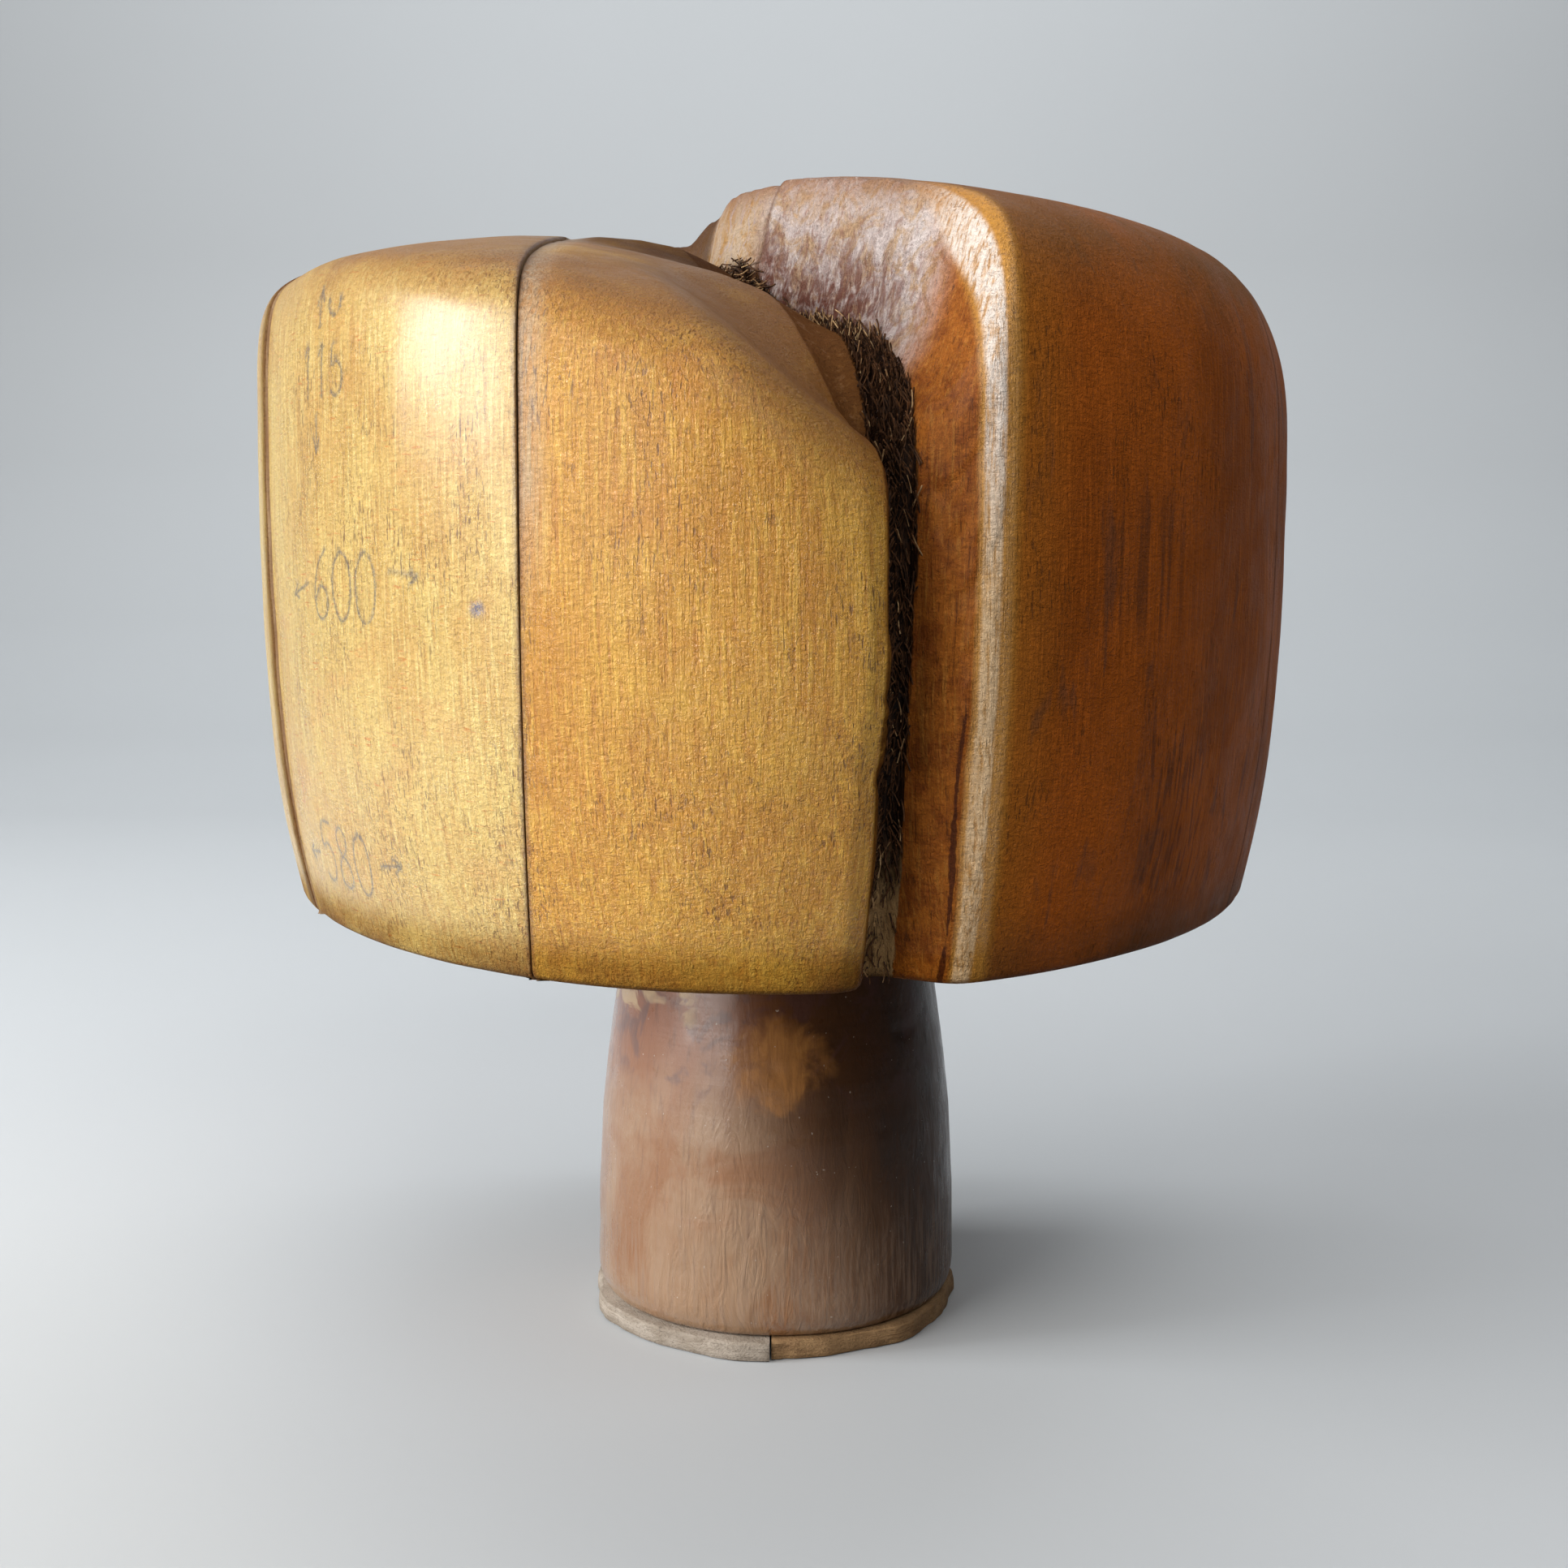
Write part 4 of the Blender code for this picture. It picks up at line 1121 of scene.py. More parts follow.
def varnished_maple(name, pale, shade, settings, seed, fleck_strength, coat):
    """Varnished carved wood with grain, a browner high lobe, a torn groove and drawn marks."""
    m = Maple(name, seed)
    deep = tint(pale, shade)
    colour = maple_grain(m, pale, deep, fleck_strength)
    colour = high_lobe(m, colour, settings.high_lobe_colour)
    colour = specks_and_darker_rims(m, colour, deep)
    colour = ridge_wear_and_highlight(m, colour)
    colour = groove_wall(m, colour, settings.groove_colour)
    colour = shaded_shoulder_and_stains(m, colour)
    colour = torn_floor(m, colour)
    colour = edges_and_marks(m, colour, settings.pencil_strength)
    lines = m.math("SUBTRACT", m.noise((5, 5, 0.9), 3, 0.7, 2.0, m.shift), 0.5)
    scratches = m.span(m.math("ABSOLUTE", lines), 0.0, 0.012, 1.0, 0.0)
    rough = m.noise((8, 8, 11), 4, 0.65, 0.5, (m.seed, 9.0, 9.0))
    rough = m.span(rough, 0.3, 0.7, *settings.varnish_roughness_range())
    for part, more in ((m.dark, 0.45), (m.wall, 0.14), (m.lip, 0.2), (m.bend, 0.3), (scratches, 0.08)):
        rough = m.math("ADD", rough, m.times(part, more))
    rough = m.math("ADD", rough, m.times(m.pores, 0.2), clamp=True)
    dull = m.span(m.high, 0.05, 0.7)
    for part, amount in (
        (m.mask("crest"), 0.8), (m.mask("shaded_shoulder"), 1.35),
        (m.math("MAXIMUM", m.mask("foot"), m.lip), 1.2), (m.wall, 0.8),
    ):
        dull = m.math("MAXIMUM", dull, m.times(part, amount))
    rough = m.math("ADD", rough, m.times(dull, 0.16), clamp=True)
    shine = m.times(m.span(m.dark, 0.0, 0.6, 1.0, 0.3), m.span(dull, 0.0, 1.1, 0.62, 0.03))
    return m.done(colour, rough, maple_relief(m, scratches), shine, m.times(shine, coat), 0.24)


def cut_wood(name):
    """Bare wood on the seam faces and the underside: end grain with saw lines."""
    m = Finish(name)
    grain = m.noise((0.5, 0.5, 9), 3, 0.6, 0.4)
    rings = m.noise((6, 1.6, 30), 3, 0.6, 1.0)
    saw = m.noise((30, 30, 0.45), 2, 0.5, 0.2)
    colour = m.mix(m.span(rings, 0.35, 0.7), (0.42, 0.27, 0.14), (0.3, 0.16, 0.07))
    colour = m.over(colour, (0.5, 0.36, 0.22), m.span(grain, 0.5, 0.7, 0, 0.5))
    colour = m.over(colour, (0.2, 0.11, 0.06), m.span(saw, 0.55, 0.7, 0, 0.3))
    return m.done(colour, m.span(grain, 0.3, 0.7, 0.6, 0.85), m.bump(saw, 0.12, m.bump(grain, 0.12)))


def fibre_wood(name, dark, light):
    """Torn fibres: matt, streaked along their length."""
    m = Finish(name)
    tone = m.noise((0.5, 0.5, 2.5), 3, 0.7, 0.5)
    patch = m.noise((4, 4, 6), 2, 0.5)
    colour = m.mix(m.span(tone, 0.35, 0.68), dark, light)
    colour = m.over(colour, dark, m.span(patch, 0.5, 0.7, 0, 0.5))
    return m.done(colour, m.span(tone, 0.3, 0.7, 0.6, 0.9), m.bump(tone, 0.08), 0.2)


def varnished_post(name, settings):
    """Dark varnish over a turned post: drips, wear, one bare patch and paler scuffs, with painted light on
    its left side and painted shade on its right.
    """
    m = Finish(name)
    x, y, z = (m.axis(letter) for letter in "XYZ")
    base = settings.post_colour
    clouds = m.noise((16, 16, 22), 4, 0.65, 0.8)
    streak = m.noise((0.8, 0.8, 14), 3, 0.65, 0.4)
    # Painted light and shade: the left side paler, over thin worn varnish, the right side a darker copy of
    # the varnish.
    lit_tan = m.mix(m.span(clouds, 0.35, 0.68), settings.worn_and_lit_post_colour, tint(base, (1.3, 1.4, 1.5)))
    lit_tan = m.over(lit_tan, tint(base, (1.4, 1.2, 1.3)), m.span(z, 0.036, 0.056))
    colour = m.mix(m.span(clouds, 0.35, 0.68), tint(base, 0.42), tint(base, 0.22))
    side = m.span(m.math("ADD", x, m.times(z, 0.38)), 0.002, 0.031)
    colour = m.mix(side, lit_tan, colour)
    colour = m.over(colour, tint(base, (0.5, 0.42, 0.36)), m.span(streak, 0.52, 0.72, 0, 0.4))
    purple = m.span(m.noise((6, 6, 8), 3, 0.6, 0.6, (2, 5, 1)), 0.48, 0.62)
    colour = m.over(colour, (0.10, 0.042, 0.035), m.span(z, 0.038, 0.046), purple, 0.6)
    off_x, off_z = m.math("DIVIDE", x, 0.0075), m.math("DIVIDE", m.math("SUBTRACT", z, 0.048), 0.0065)
    spot = m.math("ADD", m.times(off_x, off_x), m.times(off_z, off_z))
    spot = m.math("ADD", spot, m.span(m.noise((5, 5, 5), 3, 0.6, 0.8), 0.2, 0.8, -0.8, 0.8))
    spot = m.times(m.span(spot, 1.7, 0.1), m.span(streak, 0.3, 0.6, 0.6, 0.95), m.span(y, 0.0, -0.01))
    colour = m.over(colour, (0.44, 0.19, 0.05), spot)
    edge = m.math("ADD", z, m.span(m.noise((7, 7, 5), 3, 0.6, 0.8), 0.2, 0.8, -0.0045, 0.0045))
    bare = m.times(m.span(edge, 0.0565, 0.059), m.span(x, -0.0115, -0.0155), m.span(y, -0.002, -0.006))
    colour = m.over(colour, (0.62, 0.44, 0.25), bare, 0.85)
    specks = m.span(m.noise((0.7, 0.7, 0.7), 1, 0.4, 0.0, (4, 4, 4)), 0.77, 0.8)
    colour = m.over(colour, (0.6, 0.52, 0.44), specks, 0.7)
    colour = m.over(colour, (0.38, 0.25, 0.165), m.span(z, 0.03, 0.01), m.span(streak, 0.42, 0.62), 0.4)
    rough = m.span(m.noise((7, 7, 9), 4, 0.6), 0.3, 0.7, 0.2, 0.42)
    rough = m.math("ADD", rough, m.times(bare, 0.35), clamp=True)
    drips = m.times(m.noise((2.4, 2.4, 9), 3, 0.6, 1.2), m.span(z, 0.05, 0.015, 0.25, 1.0))
    turning = m.times(m.noise((60, 60, 1.3), 2, 0.5, 0.1), 0.1)
    fine = m.bump(m.noise((0.6, 0.6, 0.9), 3, 0.6), 0.03)
    shine = m.span(side, 0.0, 1.0, 0.6, 0.12)
    normal = m.bump(m.math("ADD", drips, turning), 0.35, fine)
    return m.done(colour, rough, normal, shine, m.times(shine, 1.4), 0.2)


def board(name, pale, deep):
    """Pressed board of the foot pads: matt, fibrous and dusty."""
    m = Finish(name)
    patch = m.noise((7, 7, 3), 4, 0.65, 0.6)
    fuzz = m.noise((0.5, 0.5, 0.3), 3, 0.7, 0.4)
    layers = m.noise((20, 20, 0.5), 2, 0.6)
    colour = m.mix(m.span(patch, 0.35, 0.65), pale, deep)
    colour = m.over(colour, tint(deep, 0.45), m.span(fuzz, 0.5, 0.72, 0, 0.6))
    colour = m.over(colour, tint(pale, 1.3), m.span(layers, 0.55, 0.7, 0, 0.5))
    return m.done(colour, m.span(fuzz, 0.3, 0.7, 0.75, 0.95), m.bump(fuzz, 0.25, m.bump(layers, 0.2)))


def beech(name):
    """Plain beech: fine flecks along the grain."""
    m = Finish(name)
    grain = m.noise((0.6, 0.6, 12), 3, 0.6, 0.4)
    fleck = m.span(m.noise((0.3, 0.3, 1.6), 1, 0.5), 0.62, 0.7)
    colour = m.mix(m.span(grain, 0.35, 0.65), (0.56, 0.36, 0.19), (0.43, 0.25, 0.12))
    colour = m.over(colour, (0.24, 0.12, 0.06), fleck, 0.6)
    return m.done(colour, m.span(grain, 0.3, 0.7, 0.45, 0.62), m.bump(grain, 0.08))


def studio_paint(name, floor_colour):
    """Matt paint of the floor, which lights the object from below as darkly as bare ground would."""
    m = Finish(name)
    colour = m.mix(m.noise((240, 240, 240), 3, 0.5), floor_colour, tint(floor_colour, 1.04))
    ray = m.add("ShaderNodeLightPath")
    seen = m.math("MAXIMUM", ray["Is Camera Ray"], ray["Is Glossy Ray"])
    seen = m.math("MAXIMUM", seen, ray["Is Transmission Ray"])
    seen = m.math("MAXIMUM", seen, m.span(m.axis("Z"), 0.03, 0.25))
    colour = m.mix(seen, (0.07, 0.052, 0.042), colour)
    return m.done(colour, 0.7, m.bump(m.noise((2, 2, 2), 2), 0.02))


def tongue_box(seam, place, across_x, half, reach_in, reach_out, bottom, top):
    """Corners of a block across a seam; reach_in is towards the crown's middle."""
    sign = 1 if seam > 0 else -1
    ends = sorted((seam - sign * reach_in, seam + sign * reach_out))
    sides = (place - half, place + half)
    xs, ys = (ends, sides) if across_x else (sides, ends)
    return (xs[0], ys[0], bottom), (xs[1], ys[1], top)


def pin_bore(helpers):
    return rod("pin_bore", helpers, PIN_RADIUS + GAP, KEY_HALF_WIDTH + 5, PIN_HEIGHT, slot=1)


def cutters_for(name, helpers):
    """The blocks and rods that are cut out of one segment."""
    wide, reach, top = SPLINE_THICKNESS / 2 + GAP, SPLINE_REACH + GAP, SPLINE_TOP + GAP
    made = []
    for label, seam, place, across_x, holder, slider, _ in TONGUES:
        if name == holder:
            corners = tongue_box(seam, place, across_x, wide, reach, 3, SPLINE_BOTTOM - GAP, top)
            made.append(block(f"{label}_pocket", helpers, *corners, slot=1))
        if name == slider:
            corners = tongue_box(seam, place, across_x, wide, 3, reach, CROWN_FOOT - 9, top)
            made.append(block(f"{label}_groove", helpers, *corners, slot=1))
    if name == "key":
        bore, ceiling, below = TENON_RADIUS + GAP, TENON_TOP + GAP, CROWN_FOOT - 10
        mortise = [(0, ceiling), (bore, ceiling), (bore, below), (0, below)]
        made.append(revolved("mortise", helpers, mortise, 96, slot=1))
        made.append(pin_bore(helpers))
    return made


def length_setting(name, description, default, low, high):
    return FloatProperty(
        name=name, description=description, default=default, min=low, max=high, unit="LENGTH", precision=4
    )


def share_setting(name, description, default):
    return FloatProperty(
        name=name, description=description, default=default, min=0.0, max=1.0, subtype="FACTOR"
    )


def colour_setting(name, description, default):
    return FloatVectorProperty(
        name=name, description=description, default=default, min=0.0, max=1.0, size=3, subtype="COLOR"
    )


def density_setting(name, description, default, high):
    return FloatProperty(name=name, description=description, default=default, min=0.0, max=high)


class HATBLOCK_Settings(bpy.types.PropertyGroup):
    """Sizes and colours that can be changed before building."""

    tooling_depth: length_setting(
        "Tooling depth", "How uneven the hand carving leaves the surface", 0.001, 0.0, 0.003
    )
    edge_radius: length_setting(
        "Edge rounding", "Rounding of the segments' edges along the seams", 0.0003, 0.0001, 0.002
    )
    pencil_strength: share_setting("Pencil marks", "How dark the drawn size marks are", 0.75)
    gloss: share_setting("Varnish gloss", "How shiny the varnish of the crown is", 0.62)
    light_colour: colour_setting("Light segments", "Colour of the pale segments", (0.84, 0.59, 0.165))
    golden_colour: colour_setting("Golden segments", "Colour of the golden segments", (0.83, 0.45, 0.056))
    high_lobe_colour: colour_setting("High lobe", "Browner varnish on the high lobe", (0.58, 0.145, 0.016))
    groove_colour: colour_setting("Groove wall", "Stained wood on the groove's wall", (0.15, 0.052, 0.034))
    post_colour: colour_setting("Post", "Varnish of the post", (0.21, 0.078, 0.02))
    # Painted light: this paler colour lights the post's left side, over thin worn varnish.
    worn_and_lit_post_colour: colour_setting("Worn post", "Thin, worn varnish low on the post", (0.35, 0.205, 0.11))
    fibre_density: density_setting(
        "Torn fibres", "Dark fibres on a square centimetre of the torn floor", 150.0, 600.0
    )
    splinter_density: density_setting(
        "Pale splinters", "Pale splinters on a square centimetre of the torn floor", 60.0, 200.0
    )
    fibre_seed: IntProperty(
        name="Fibre seed", description="Another arrangement of the torn fibres", default=4, min=0
    )
    floor_colour: colour_setting("Floor", "Colour of the studio floor", (0.6, 0.625, 0.645))
    key_power: FloatProperty(
        name="Window light", description="Power of the large soft lamp on the left",
        default=10.6, min=0.0, max=200.0, unit="POWER",
    )

    def varnish_roughness_range(self):
        middle = 0.62 - 0.5 * self.gloss
        return middle - 0.08, middle + 0.1


def settings_of(context):
    return context.scene.hatblock


class HATBLOCK_OT_segments(bpy.types.Operator):
    """Carves the seven segments of the crown"""

    bl_idname = "hatblock.segments"
    bl_label = "Crown segments"

    def execute(self, context):
        settings = settings_of(context)
        group, helpers = collection("hat_block"), collection("cutters", helper=True)
        finishes = {
            "light_maple": varnished_maple(
                "light_maple", settings.light_colour, (0.88, 0.74, 0.6), settings, 1.0, 0.8, 1.0
            ),
            "golden_maple": varnished_maple(
                "golden_maple", settings.golden_colour, (0.84, 0.7, 0.55), settings, 4.0, 0.15, 0.3
            ),
        }
        bare = cut_wood("cut_maple")
        crown = crown_mesh(settings)
        radius = settings.edge_radius / MM
        for name, (low, high, body, finish) in SEGMENTS.items():
            low = [None if v is None else v + SEAM_GAP / 2 for v in low]
            high = [None if v is None else v - SEAM_GAP / 2 for v in high]
            obj = object_of(cut_cell(crown, low, high, radius), f"carved_{name}", group)
            points = ease_edges(obj.data, low, high, radius, name)
            draw_marks(obj.data, points)
            to_metres(obj.data)
            outside = read(obj.data.polygons, "material_index", 1, np.int32) == 0
            obj.data.polygons.foreach_set("use_smooth", outside)
            obj.data.materials.append(finishes[finish])
            obj.data.materials.append(bare)
            for cutter in cutters_for(name, helpers):
                subtract(obj, cutter)
            finished(obj)
            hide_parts(name)
            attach(obj, body)
        bpy.data.meshes.remove(crown)
        for cutter in list(helpers.objects):
            bpy.data.objects.remove(cutter)
        return {"FINISHED"}


class FibreNodes(Nodes):
    """Geometry nodes that grow thin bent slivers on a bed and turn them along it."""

    def sliver(self, source):
        """One bent sliver, a unit long, thickest near its root."""
        line = self.add("GeometryNodeCurvePrimitiveLine", {"Start": (0, 0, -0.5), "End": (0, 0, 0.5)})
        parts = self.add("GeometryNodeResampleCurve", {"Curve": line["Curve"], "Count": 5})
        share = self.add("GeometryNodeSplineParameter")["Factor"]
        thin = self.tree.nodes.new("ShaderNodeFloatCurve")
        curve = thin.mapping.curves[0]
        curve.points[0].location, curve.points[1].location = (0.0, 0.25), (1.0, 0.08)
        curve.points.new(0.35, 1.0)
        curve.points.new(0.7, 0.7)
        thin.mapping.update()
        self.join(share, thin.inputs["Value"])
        thick = {"Curve": parts["Curve"], "Radius": thin.outputs["Value"]}
        sized = self.add("GeometryNodeSetCurveRadius", thick)
        bow = self.math("MULTIPLY", self.math("POWER", share, 2.0), source["Lift"])
        bend = self.add("ShaderNodeCombineXYZ", {"X": bow})[0]
        moved = self.add("GeometryNodeSetPosition", {"Geometry": sized["Curve"], "Offset": bend})
        ring = self.add("GeometryNodeCurvePrimitiveCircle", {"Resolution": 4, "Radius": 1.0}, mode="RADIUS")
        width = self.math("DIVIDE", source["Width"], source["Length"])
        size = self.add("ShaderNodeCombineXYZ", dict.fromkeys("XYZ", width))[0]
        round_it = self.add("GeometryNodeTransform", {"Geometry": ring["Curve"], "Scale": size})
        swept = {"Curve": moved["Geometry"], "Profile Curve": round_it["Geometry"], "Fill Caps": True}
        return self.add("GeometryNodeCurveToMesh", swept)["Mesh"]

    def turned(self, source, normal):
        """Along the bed's run, facing out of it, and each a little astray."""
        run = self.add("GeometryNodeInputNamedAttribute", {"Name": "run"}, data_type="FLOAT_VECTOR")[0]
        turn = self.add("FunctionNodeAlignRotationToVector", {"Vector": run}, axis="Z")[0]
        facing = {"Rotation": turn, "Vector": normal}
        face_out = self.add("FunctionNodeAlignRotationToVector", facing, axis="X", pivot_axis="Z")[0]
        limits = {0: (-0.6, -0.45, -0.9), 1: (0.6, 0.12, 0.9), "Seed": source["Seed"]}
        stray = self.add("FunctionNodeRandomValue", limits, data_type="FLOAT_VECTOR")["Value"]
        both = {"Rotation": face_out, "Rotate By": stray}
        return self.add("FunctionNodeRotateRotation", both, rotation_space="LOCAL")[0]

    def build(self):
        source = self.add("NodeGroupInput")
        where = self.add("GeometryNodeInputNamedAttribute", {"Name": "torn"}, data_type="FLOAT")[0]
        bed = {
            "Mesh": source["Geometry"], "Density": self.math("MULTIPLY", where, source["Density"]),
            "Seed": source["Seed"],
        }
        scatter = self.add("GeometryNodeDistributePointsOnFaces", bed, distribute_method="RANDOM")
        limits = {2: 0.35, 3: 1.0, "Seed": self.math("ADD", source["Seed"], 7.0)}
        big = self.add("FunctionNodeRandomValue", limits, data_type="FLOAT")[1]
        put = self.add("GeometryNodeInstanceOnPoints", {
            "Points": scatter["Points"], "Instance": self.sliver(source),
            "Rotation": self.turned(source, scatter["Normal"]),
            "Scale": self.math("MULTIPLY", big, source["Length"]),
        })
        real = self.add("GeometryNodeRealizeInstances", {"Geometry": put["Instances"]})
        painted = {"Geometry": real["Geometry"], "Material": source["Material"]}
        paint = self.add("GeometryNodeSetMaterial", painted)
        self.add("NodeGroupOutput", {"Geometry": paint["Geometry"]})


def fibre_tree():
    """The group that grows the torn fibres, with its settings."""
    tree = bpy.data.node_groups.new("torn_fibres", "GeometryNodeTree")
    tree.interface.new_socket("Geometry", in_out="OUTPUT", socket_type="NodeSocketGeometry")
    for name, kind, value in (
        ("Geometry", "Geometry", None), ("Density", "Float", 100.0), ("Length", "Float", 0.003),
        ("Width", "Float", 0.0001), ("Lift", "Float", 0.3), ("Seed", "Int", 1),
        ("Material", "Material", None),
    ):
        socket = tree.interface.new_socket(name, in_out="INPUT", socket_type=f"NodeSocket{kind}")
        if value is not None:
            socket.default_value = value
    FibreNodes(tree).build()
    return tree


def run_vectors(points):
    """Direction of the groove at points: up the front, then back over the top."""
    x, y, z = points.T
    direction = along_wall(x, y)[3]
    up = (1 - smoothstep(z, 158, 172))[:, None]
    return direction * (1 - up) + np.array((0, 0, 1.0)) * up


def fibre_bed(source, name, group, layer_name):
    """The torn faces of one segment, with how torn they are and which way the fibres run."""
    mesh = source.data
    torn = read(mesh.attributes["dark"].data, "value")
    corners = [tuple(p.vertices) for p in mesh.polygons if p.material_index == 0]
    keep = [f for f in corners if max(torn[v] for v in f) > 0.25]
    if not keep:
        return None
    used = sorted({v for f in keep for v in f})
    number = {v: i for i, v in enumerate(used)}
    points = np.array([mesh.vertices[v].co for v in used])
    height = np.array([vertex.co.z for vertex in mesh.vertices]) / MM
    torn = torn * (0.12 + 0.88 * smoothstep(height, 83, 92))
    if layer_name != "dark":
        torn = torn * np.clip(read(mesh.attributes[layer_name].data, "value"), 0.06, 1.0)
    made = bpy.data.meshes.new("fibre_bed")
    made.from_pydata(points, [], [[number[v] for v in f] for f in keep])
    add_layer(made, "torn", torn[used])
    layer = made.attributes.new("run", "FLOAT_VECTOR", "POINT")
    layer.data.foreach_set("vector", run_vectors(points / MM).astype(np.float32).ravel())
    bed = bpy.data.objects.new(name, made)
    group.objects.link(bed)
    return bed


class HATBLOCK_OT_fibres(bpy.types.Operator):
    """Scatters torn fibres and pale splinters along the floor of the groove"""

    bl_idname = "hatblock.fibres"
    bl_label = "Torn fibres"

    def execute(self, context):
        settings = settings_of(context)
        group = collection("hat_block")
        tree = fibre_tree()
        sockets = {i.name: i.identifier for i in tree.interface.items_tree if i.in_out == "INPUT"}
        dark = fibre_wood("torn_dark", (0.018, 0.008, 0.004), (0.17, 0.075, 0.03))
        straw = fibre_wood("torn_straw", (0.3, 0.16, 0.07), (0.68, 0.47, 0.24))
        kinds = (
            ("torn_fibres", settings.fibre_density, 0.0028, 0.00014, 0.4, "dark", dark, 0),
            ("pale_splinters", settings.splinter_density, 0.0042, 0.00012, 0.35, "straw", straw, 50),
        )
        for name, body in (("front_piece", "front_piece"), ("key", "stand"), ("left_side", "left_side")):
            source = bpy.data.objects.get(f"carved_{name}")
            if source is None:
                self.report({"ERROR"}, "Build the crown segments first")
                raise RuntimeError("the crown segments are built before the torn fibres")
            for label, density, length, width, lift, layer, finish, seed in kinds:
                bed = fibre_bed(source, f"{label}_{name}", group, layer)
                if bed is None:
                    continue
                grow = bed.modifiers.new("Torn fibres", "NODES")
                grow.node_group = tree
                values = {
                    "Density": density * PER_SQUARE_CM, "Length": length, "Width": width, "Lift": lift,
                    "Seed": settings.fibre_seed + seed, "Material": finish,
                }
                for key, value in values.items():
                    grow[sockets[key]] = value
                finished(bed)
                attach(bed, body)
        return {"FINISHED"}


def post_outline():
    """Half section of the post from the top of its tenon to its foot."""
    radii, heights = np.array(POST_PROFILE[::-1], float).T
    rows = np.concatenate([np.arange(8.0, SHOULDER - 0.8, 0.9), [SHOULDER - 0.6, SHOULDER - 0.2]])[::-1]
    side = [(np.interp(z, heights, radii), z) for z in rows]
    rim = side[0][0]
    outline = [(0, TENON_TOP), (TENON_RADIUS - 1, TENON_TOP), (TENON_RADIUS, TENON_TOP - 1)]
    outline += [(TENON_RADIUS, z) for z in np.linspace(TENON_TOP - 3, SHOULDER + 0.2, 14)]
    outline += [(TENON_RADIUS, SHOULDER), (rim - 0.9, SHOULDER), (rim - 0.35, SHOULDER - 0.06)]
    return [*outline, *side, *POST_FOOT]


def post_wobble(radius, turns, height):
    """Unevenness, turning rings and chips of the post under its tenon."""
    if height > SHOULDER:
        return radius
    places = np.stack([radius * np.cos(turns), radius * np.sin(turns), np.full(len(turns), height)], -1)
    chips = 0.35 * np.clip(soft_noise(places, (3.5, 3.5, 2.6), 43) - 0.55, 0, 1)
    return radius + np.where(radius > 24, layered_noise(places, TURNED) - chips, 0)


class HATBLOCK_OT_post(bpy.types.Operator):
    """Turns the post with its foot and tenon"""

    bl_idname = "hatblock.post"
    bl_label = "Post"

    def execute(self, context):
        group, helpers = collection("hat_block"), collection("cutters", helper=True)
        obj = revolved("turned_post", group, post_outline(), 220, wobble=post_wobble)
        obj.data.shade_smooth()
        obj.data.set_sharp_from_angle(angle=math.radians(40))
        obj.data.materials.append(varnished_post("brown_varnish", settings_of(context)))
        obj.data.materials.append(cut_wood("cut_post"))
        hole = pin_bore(helpers)
        subtract(obj, hole)
        finished(obj)
        bpy.data.objects.remove(hole)
        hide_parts("post")
        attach(obj, "stand")
        return {"FINISHED"}


def half_pad(left):
    """Mesh of one half of the board under the post, uneven and chipped round its rim."""
    count = 181
    start = math.pi / 2 if left else -math.pi / 2
    turns = start + math.pi * np.arange(count) / (count - 1)
    radius = PAD_RADIUS + (PAD_PROUD if left else 0.0)
    radius = radius + 0.35 * np.sin(7 * turns + 1) + 0.25 * np.sin(13 * turns)
    places = np.stack([30 * np.cos(turns), 30 * np.sin(turns), np.full(count, 5.0)], -1)
    radius += 0.16 * soft_noise(places, (1.6, 1.6, 1), 51) + 0.2 * soft_noise(places, (5, 5, 1), 52)
    shift = PAD_SPLIT - GAP / 2 if left else PAD_SPLIT + GAP / 2
    bm = bmesh.new()
    loops = []
    for k, (inset, height) in enumerate(PAD_SECTION):
        chip = 0.3 * soft_noise(places + (0, 0, 3 * k), (2.2, 2.2, 1), 53) * (height > 2)
        r = radius - inset - np.clip(chip, 0, 1)
        ring = np.stack([r * np.cos(turns), r * np.sin(turns)], -1)
        ring[0, 0] = ring[-1, 0] = shift
        ring[:, 0] = np.minimum(ring[:, 0], shift) if left else np.maximum(ring[:, 0], shift)
        loops.append([bm.verts.new((x, y, height)) for x, y in ring])
    for lower, upper in zip(loops, loops[1:]):
        for i in range(count):
            j = (i + 1) % count
            bm.faces.new((lower[i], lower[j], upper[j], upper[i]))
    bm.faces.new(loops[0][::-1])
    bm.faces.new(loops[-1])
    bmesh.ops.triangulate(bm, faces=[f for f in bm.faces if len(f.verts) > 4])
    bmesh.ops.scale(bm, vec=(MM, MM, MM), verts=bm.verts)
    bmesh.ops.recalc_face_normals(bm, faces=bm.faces)
    return bm


class HATBLOCK_OT_pads(bpy.types.Operator):
    """Cuts the two halves of the board under the post"""

    bl_idname = "hatblock.pads"
    bl_label = "Foot pads"

    def execute(self, context):
        group = collection("hat_block")
        for left, name, slot_name, pale, deep in (
            (True, "foot_pad_left", "grey_board", (0.47, 0.40, 0.33), (0.33, 0.27, 0.21)),
            (False, "foot_pad_right", "ochre_board", (0.4, 0.24, 0.11), (0.25, 0.14, 0.06)),
        ):
            obj = object_of(half_pad(left), f"board_{name}", group)
            obj.data.shade_smooth()
            obj.data.set_sharp_from_angle(angle=math.radians(35))
            obj.data.materials.append(board(slot_name, pale, deep))
            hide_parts(name)
            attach(obj, "stand")
        return {"FINISHED"}


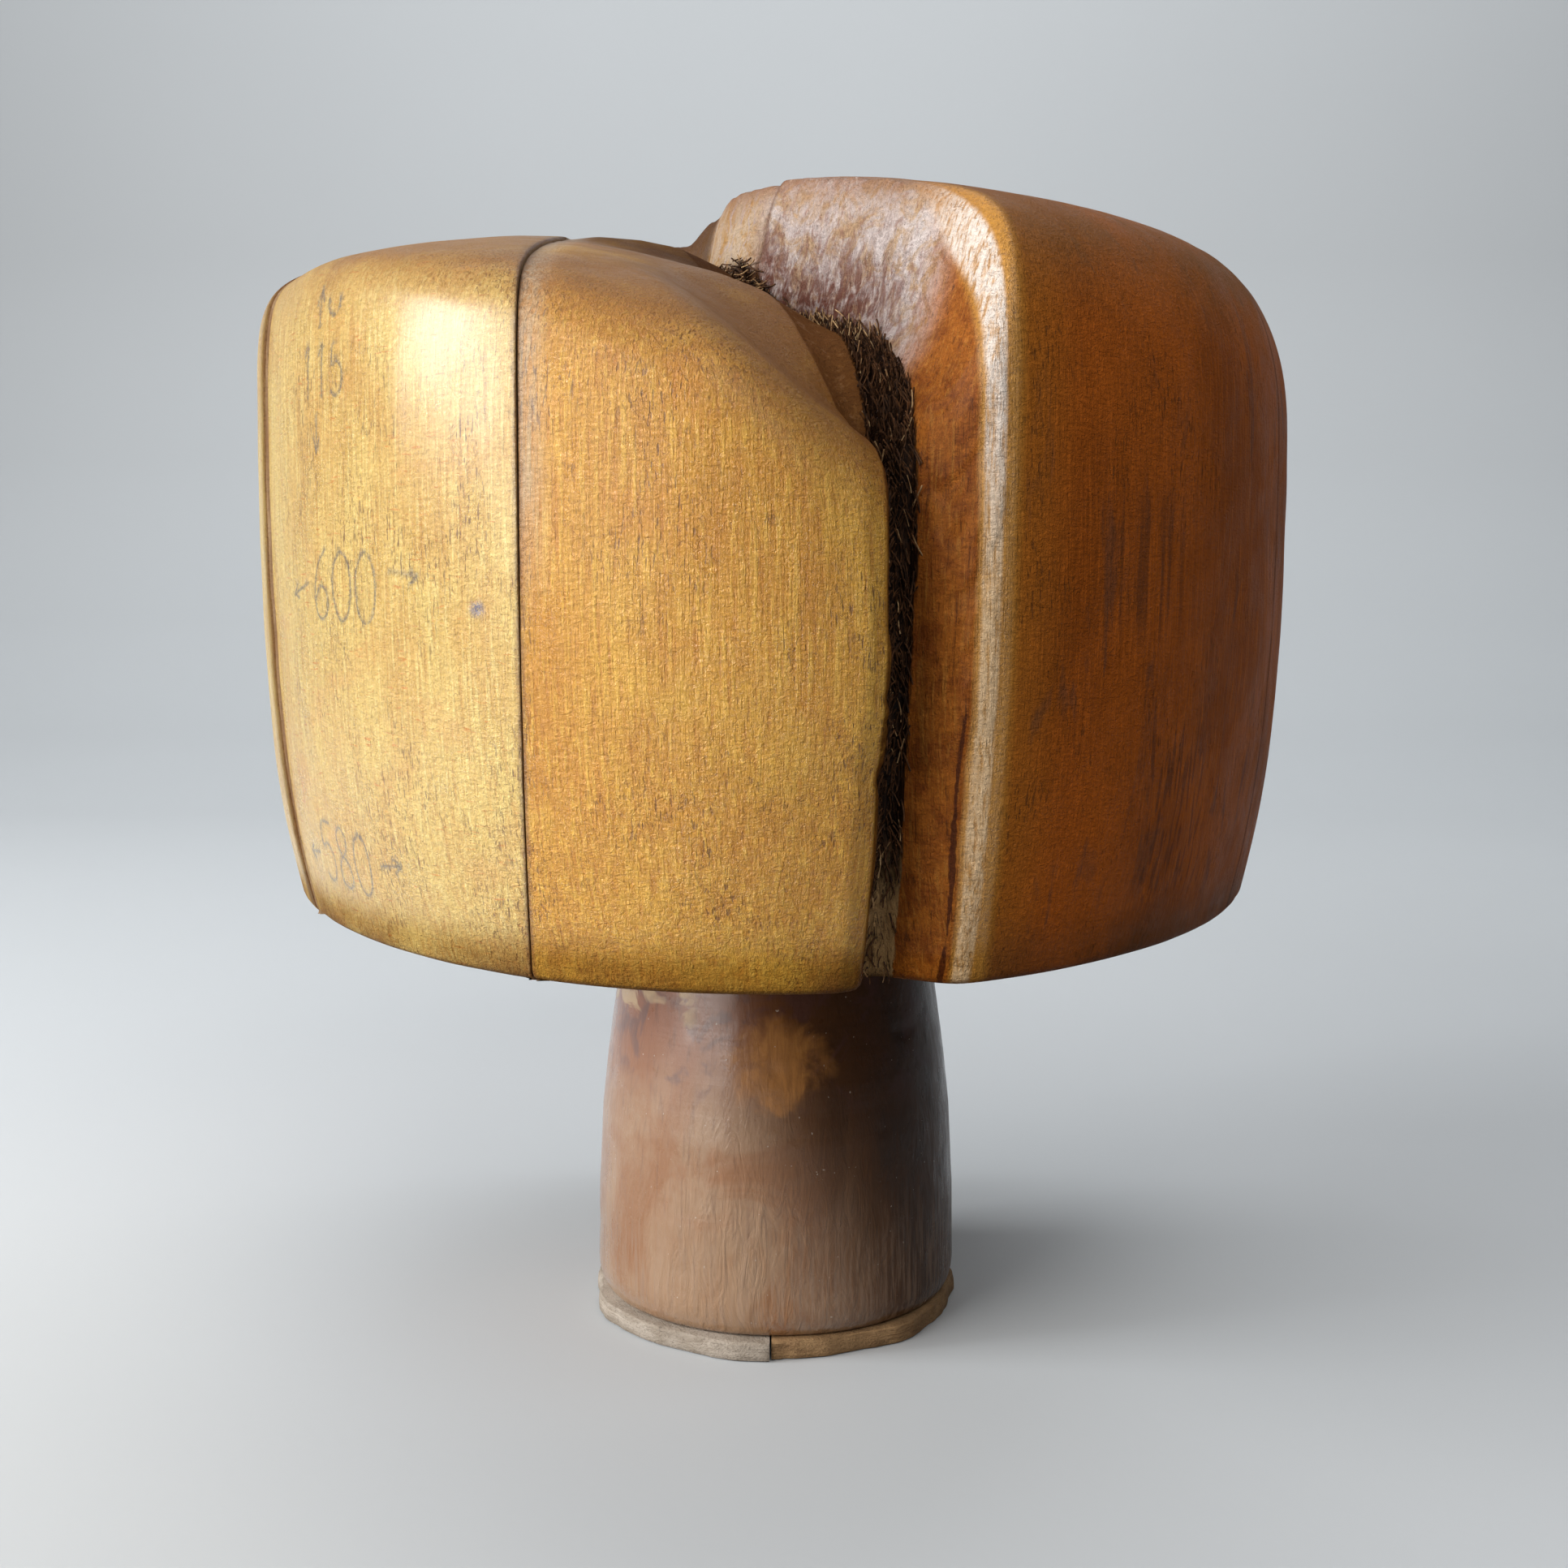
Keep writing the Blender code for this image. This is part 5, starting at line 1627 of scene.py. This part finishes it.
class HATBLOCK_OT_tongues(bpy.types.Operator):
    """Makes the six loose tongues that join the segments, and the pin through the tenon"""

    bl_idname = "hatblock.tongues"
    bl_label = "Splines and pin"

    def execute(self, context):
        group = collection("hat_block")
        wood = beech("beech")
        made = []
        half = SPLINE_THICKNESS / 2
        for name, seam, place, across_x, _, _, body in TONGUES:
            reach = (SPLINE_REACH, SPLINE_REACH)
            corners = tongue_box(seam, place, across_x, half, *reach, SPLINE_BOTTOM, SPLINE_TOP)
            made.append((block(f"tongue_{name}", group, *corners, bevel=0.35), name, body))
        pin = rod("dowel_tenon_pin", group, PIN_RADIUS, KEY_HALF_WIDTH - 0.5, PIN_HEIGHT, bevel=0.5)
        made.append((pin, "tenon_pin", "stand"))
        for obj, name, body in made:
            obj.data.shade_smooth()
            obj.data.set_sharp_from_angle(angle=math.radians(30))
            obj.data.materials.append(wood)
            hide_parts(name)
            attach(obj, body)
        return {"FINISHED"}


def lamp(name, place, aim, width, height, power, colour):
    light = bpy.data.lights.new(name, "AREA")
    light.shape = "RECTANGLE"
    light.size, light.size_y, light.energy, light.color = width, height, power, colour
    obj = bpy.data.objects.new(name, light)
    bpy.context.scene.collection.objects.link(obj)
    obj.location = place
    obj.rotation_euler = (Vector(aim) - Vector(place)).to_track_quat("-Z", "Y").to_euler()


def studio_floor(settings):
    """A floor that curves up into a wall behind the object."""
    mesh = bpy.data.meshes.new("studio_floor")
    verts = [(x, y, z - 0.0002) for y, z in FLOOR_PROFILE for x in (-3.5, 3.5)]
    faces = [(2 * i, 2 * i + 1, 2 * i + 3, 2 * i + 2) for i in range(len(FLOOR_PROFILE) - 1)]
    mesh.from_pydata(verts, [], faces)
    mesh.shade_smooth()
    mesh.materials.append(studio_paint("studio_paint", settings.floor_colour))
    return bpy.data.objects.new("studio_floor", mesh)


class HATBLOCK_OT_stage(bpy.types.Operator):
    """Sets up the floor, the soft lamps and the camera"""

    bl_idname = "hatblock.stage"
    bl_label = "Stage"

    def execute(self, context):
        settings = settings_of(context)
        scene = context.scene
        floor = studio_floor(settings)
        scene.collection.objects.link(floor)
        world = bpy.data.worlds.new("studio")
        scene.world = world
        world.use_nodes = True
        sky = world.node_tree.nodes["Background"].inputs
        sky["Color"].default_value = (0.80, 0.86, 0.92, 1)
        sky["Strength"].default_value = 0.07
        for name, place, aim, width, height, share, colour in LAMPS:
            lamp(name, place, aim, width, height, settings.key_power * share, colour)
        lens = bpy.data.cameras.new("camera")
        lens.sensor_width = SENSOR_WIDTH
        lens.lens = SENSOR_WIDTH * PHOTO_FOCAL / PHOTO_WIDTH
        camera = bpy.data.objects.new("camera", lens)
        scene.collection.objects.link(camera)
        camera.location = CAMERA_PLACE
        camera.rotation_euler = (math.radians(90 - CAMERA_TILT), 0, 0)
        scene.camera = camera
        scene.view_settings.view_transform = "Standard"
        return {"FINISHED"}


STEPS = (
    HATBLOCK_OT_segments, HATBLOCK_OT_fibres, HATBLOCK_OT_post, HATBLOCK_OT_pads,
    HATBLOCK_OT_tongues, HATBLOCK_OT_stage,
)


class HATBLOCK_PT_panel(bpy.types.Panel):
    """Lists the steps that build the hat block"""

    bl_label = "Hat block"
    bl_idname = "HATBLOCK_PT_panel"
    bl_space_type = "VIEW_3D"
    bl_region_type = "UI"
    bl_category = "Hat block"

    def draw(self, context):
        settings = settings_of(context)
        for name in settings.__annotations__:
            self.layout.prop(settings, name)
        for step in STEPS:
            self.layout.operator(step.bl_idname)


CLASSES = (HATBLOCK_Settings, *STEPS, HATBLOCK_PT_panel)


def register():
    for item in CLASSES:
        bpy.utils.register_class(item)
    bpy.types.Scene.hatblock = PointerProperty(type=HATBLOCK_Settings)


def unregister():
    del bpy.types.Scene.hatblock
    for item in reversed(CLASSES):
        bpy.utils.unregister_class(item)


def main():
    register()
    for step in STEPS:
        name = step.bl_idname.split(".")[1]
        if getattr(bpy.ops.hatblock, name)() != {"FINISHED"}:
            raise RuntimeError(f"{step.bl_label} wasn't built")


if __name__ == "__main__":
    main()
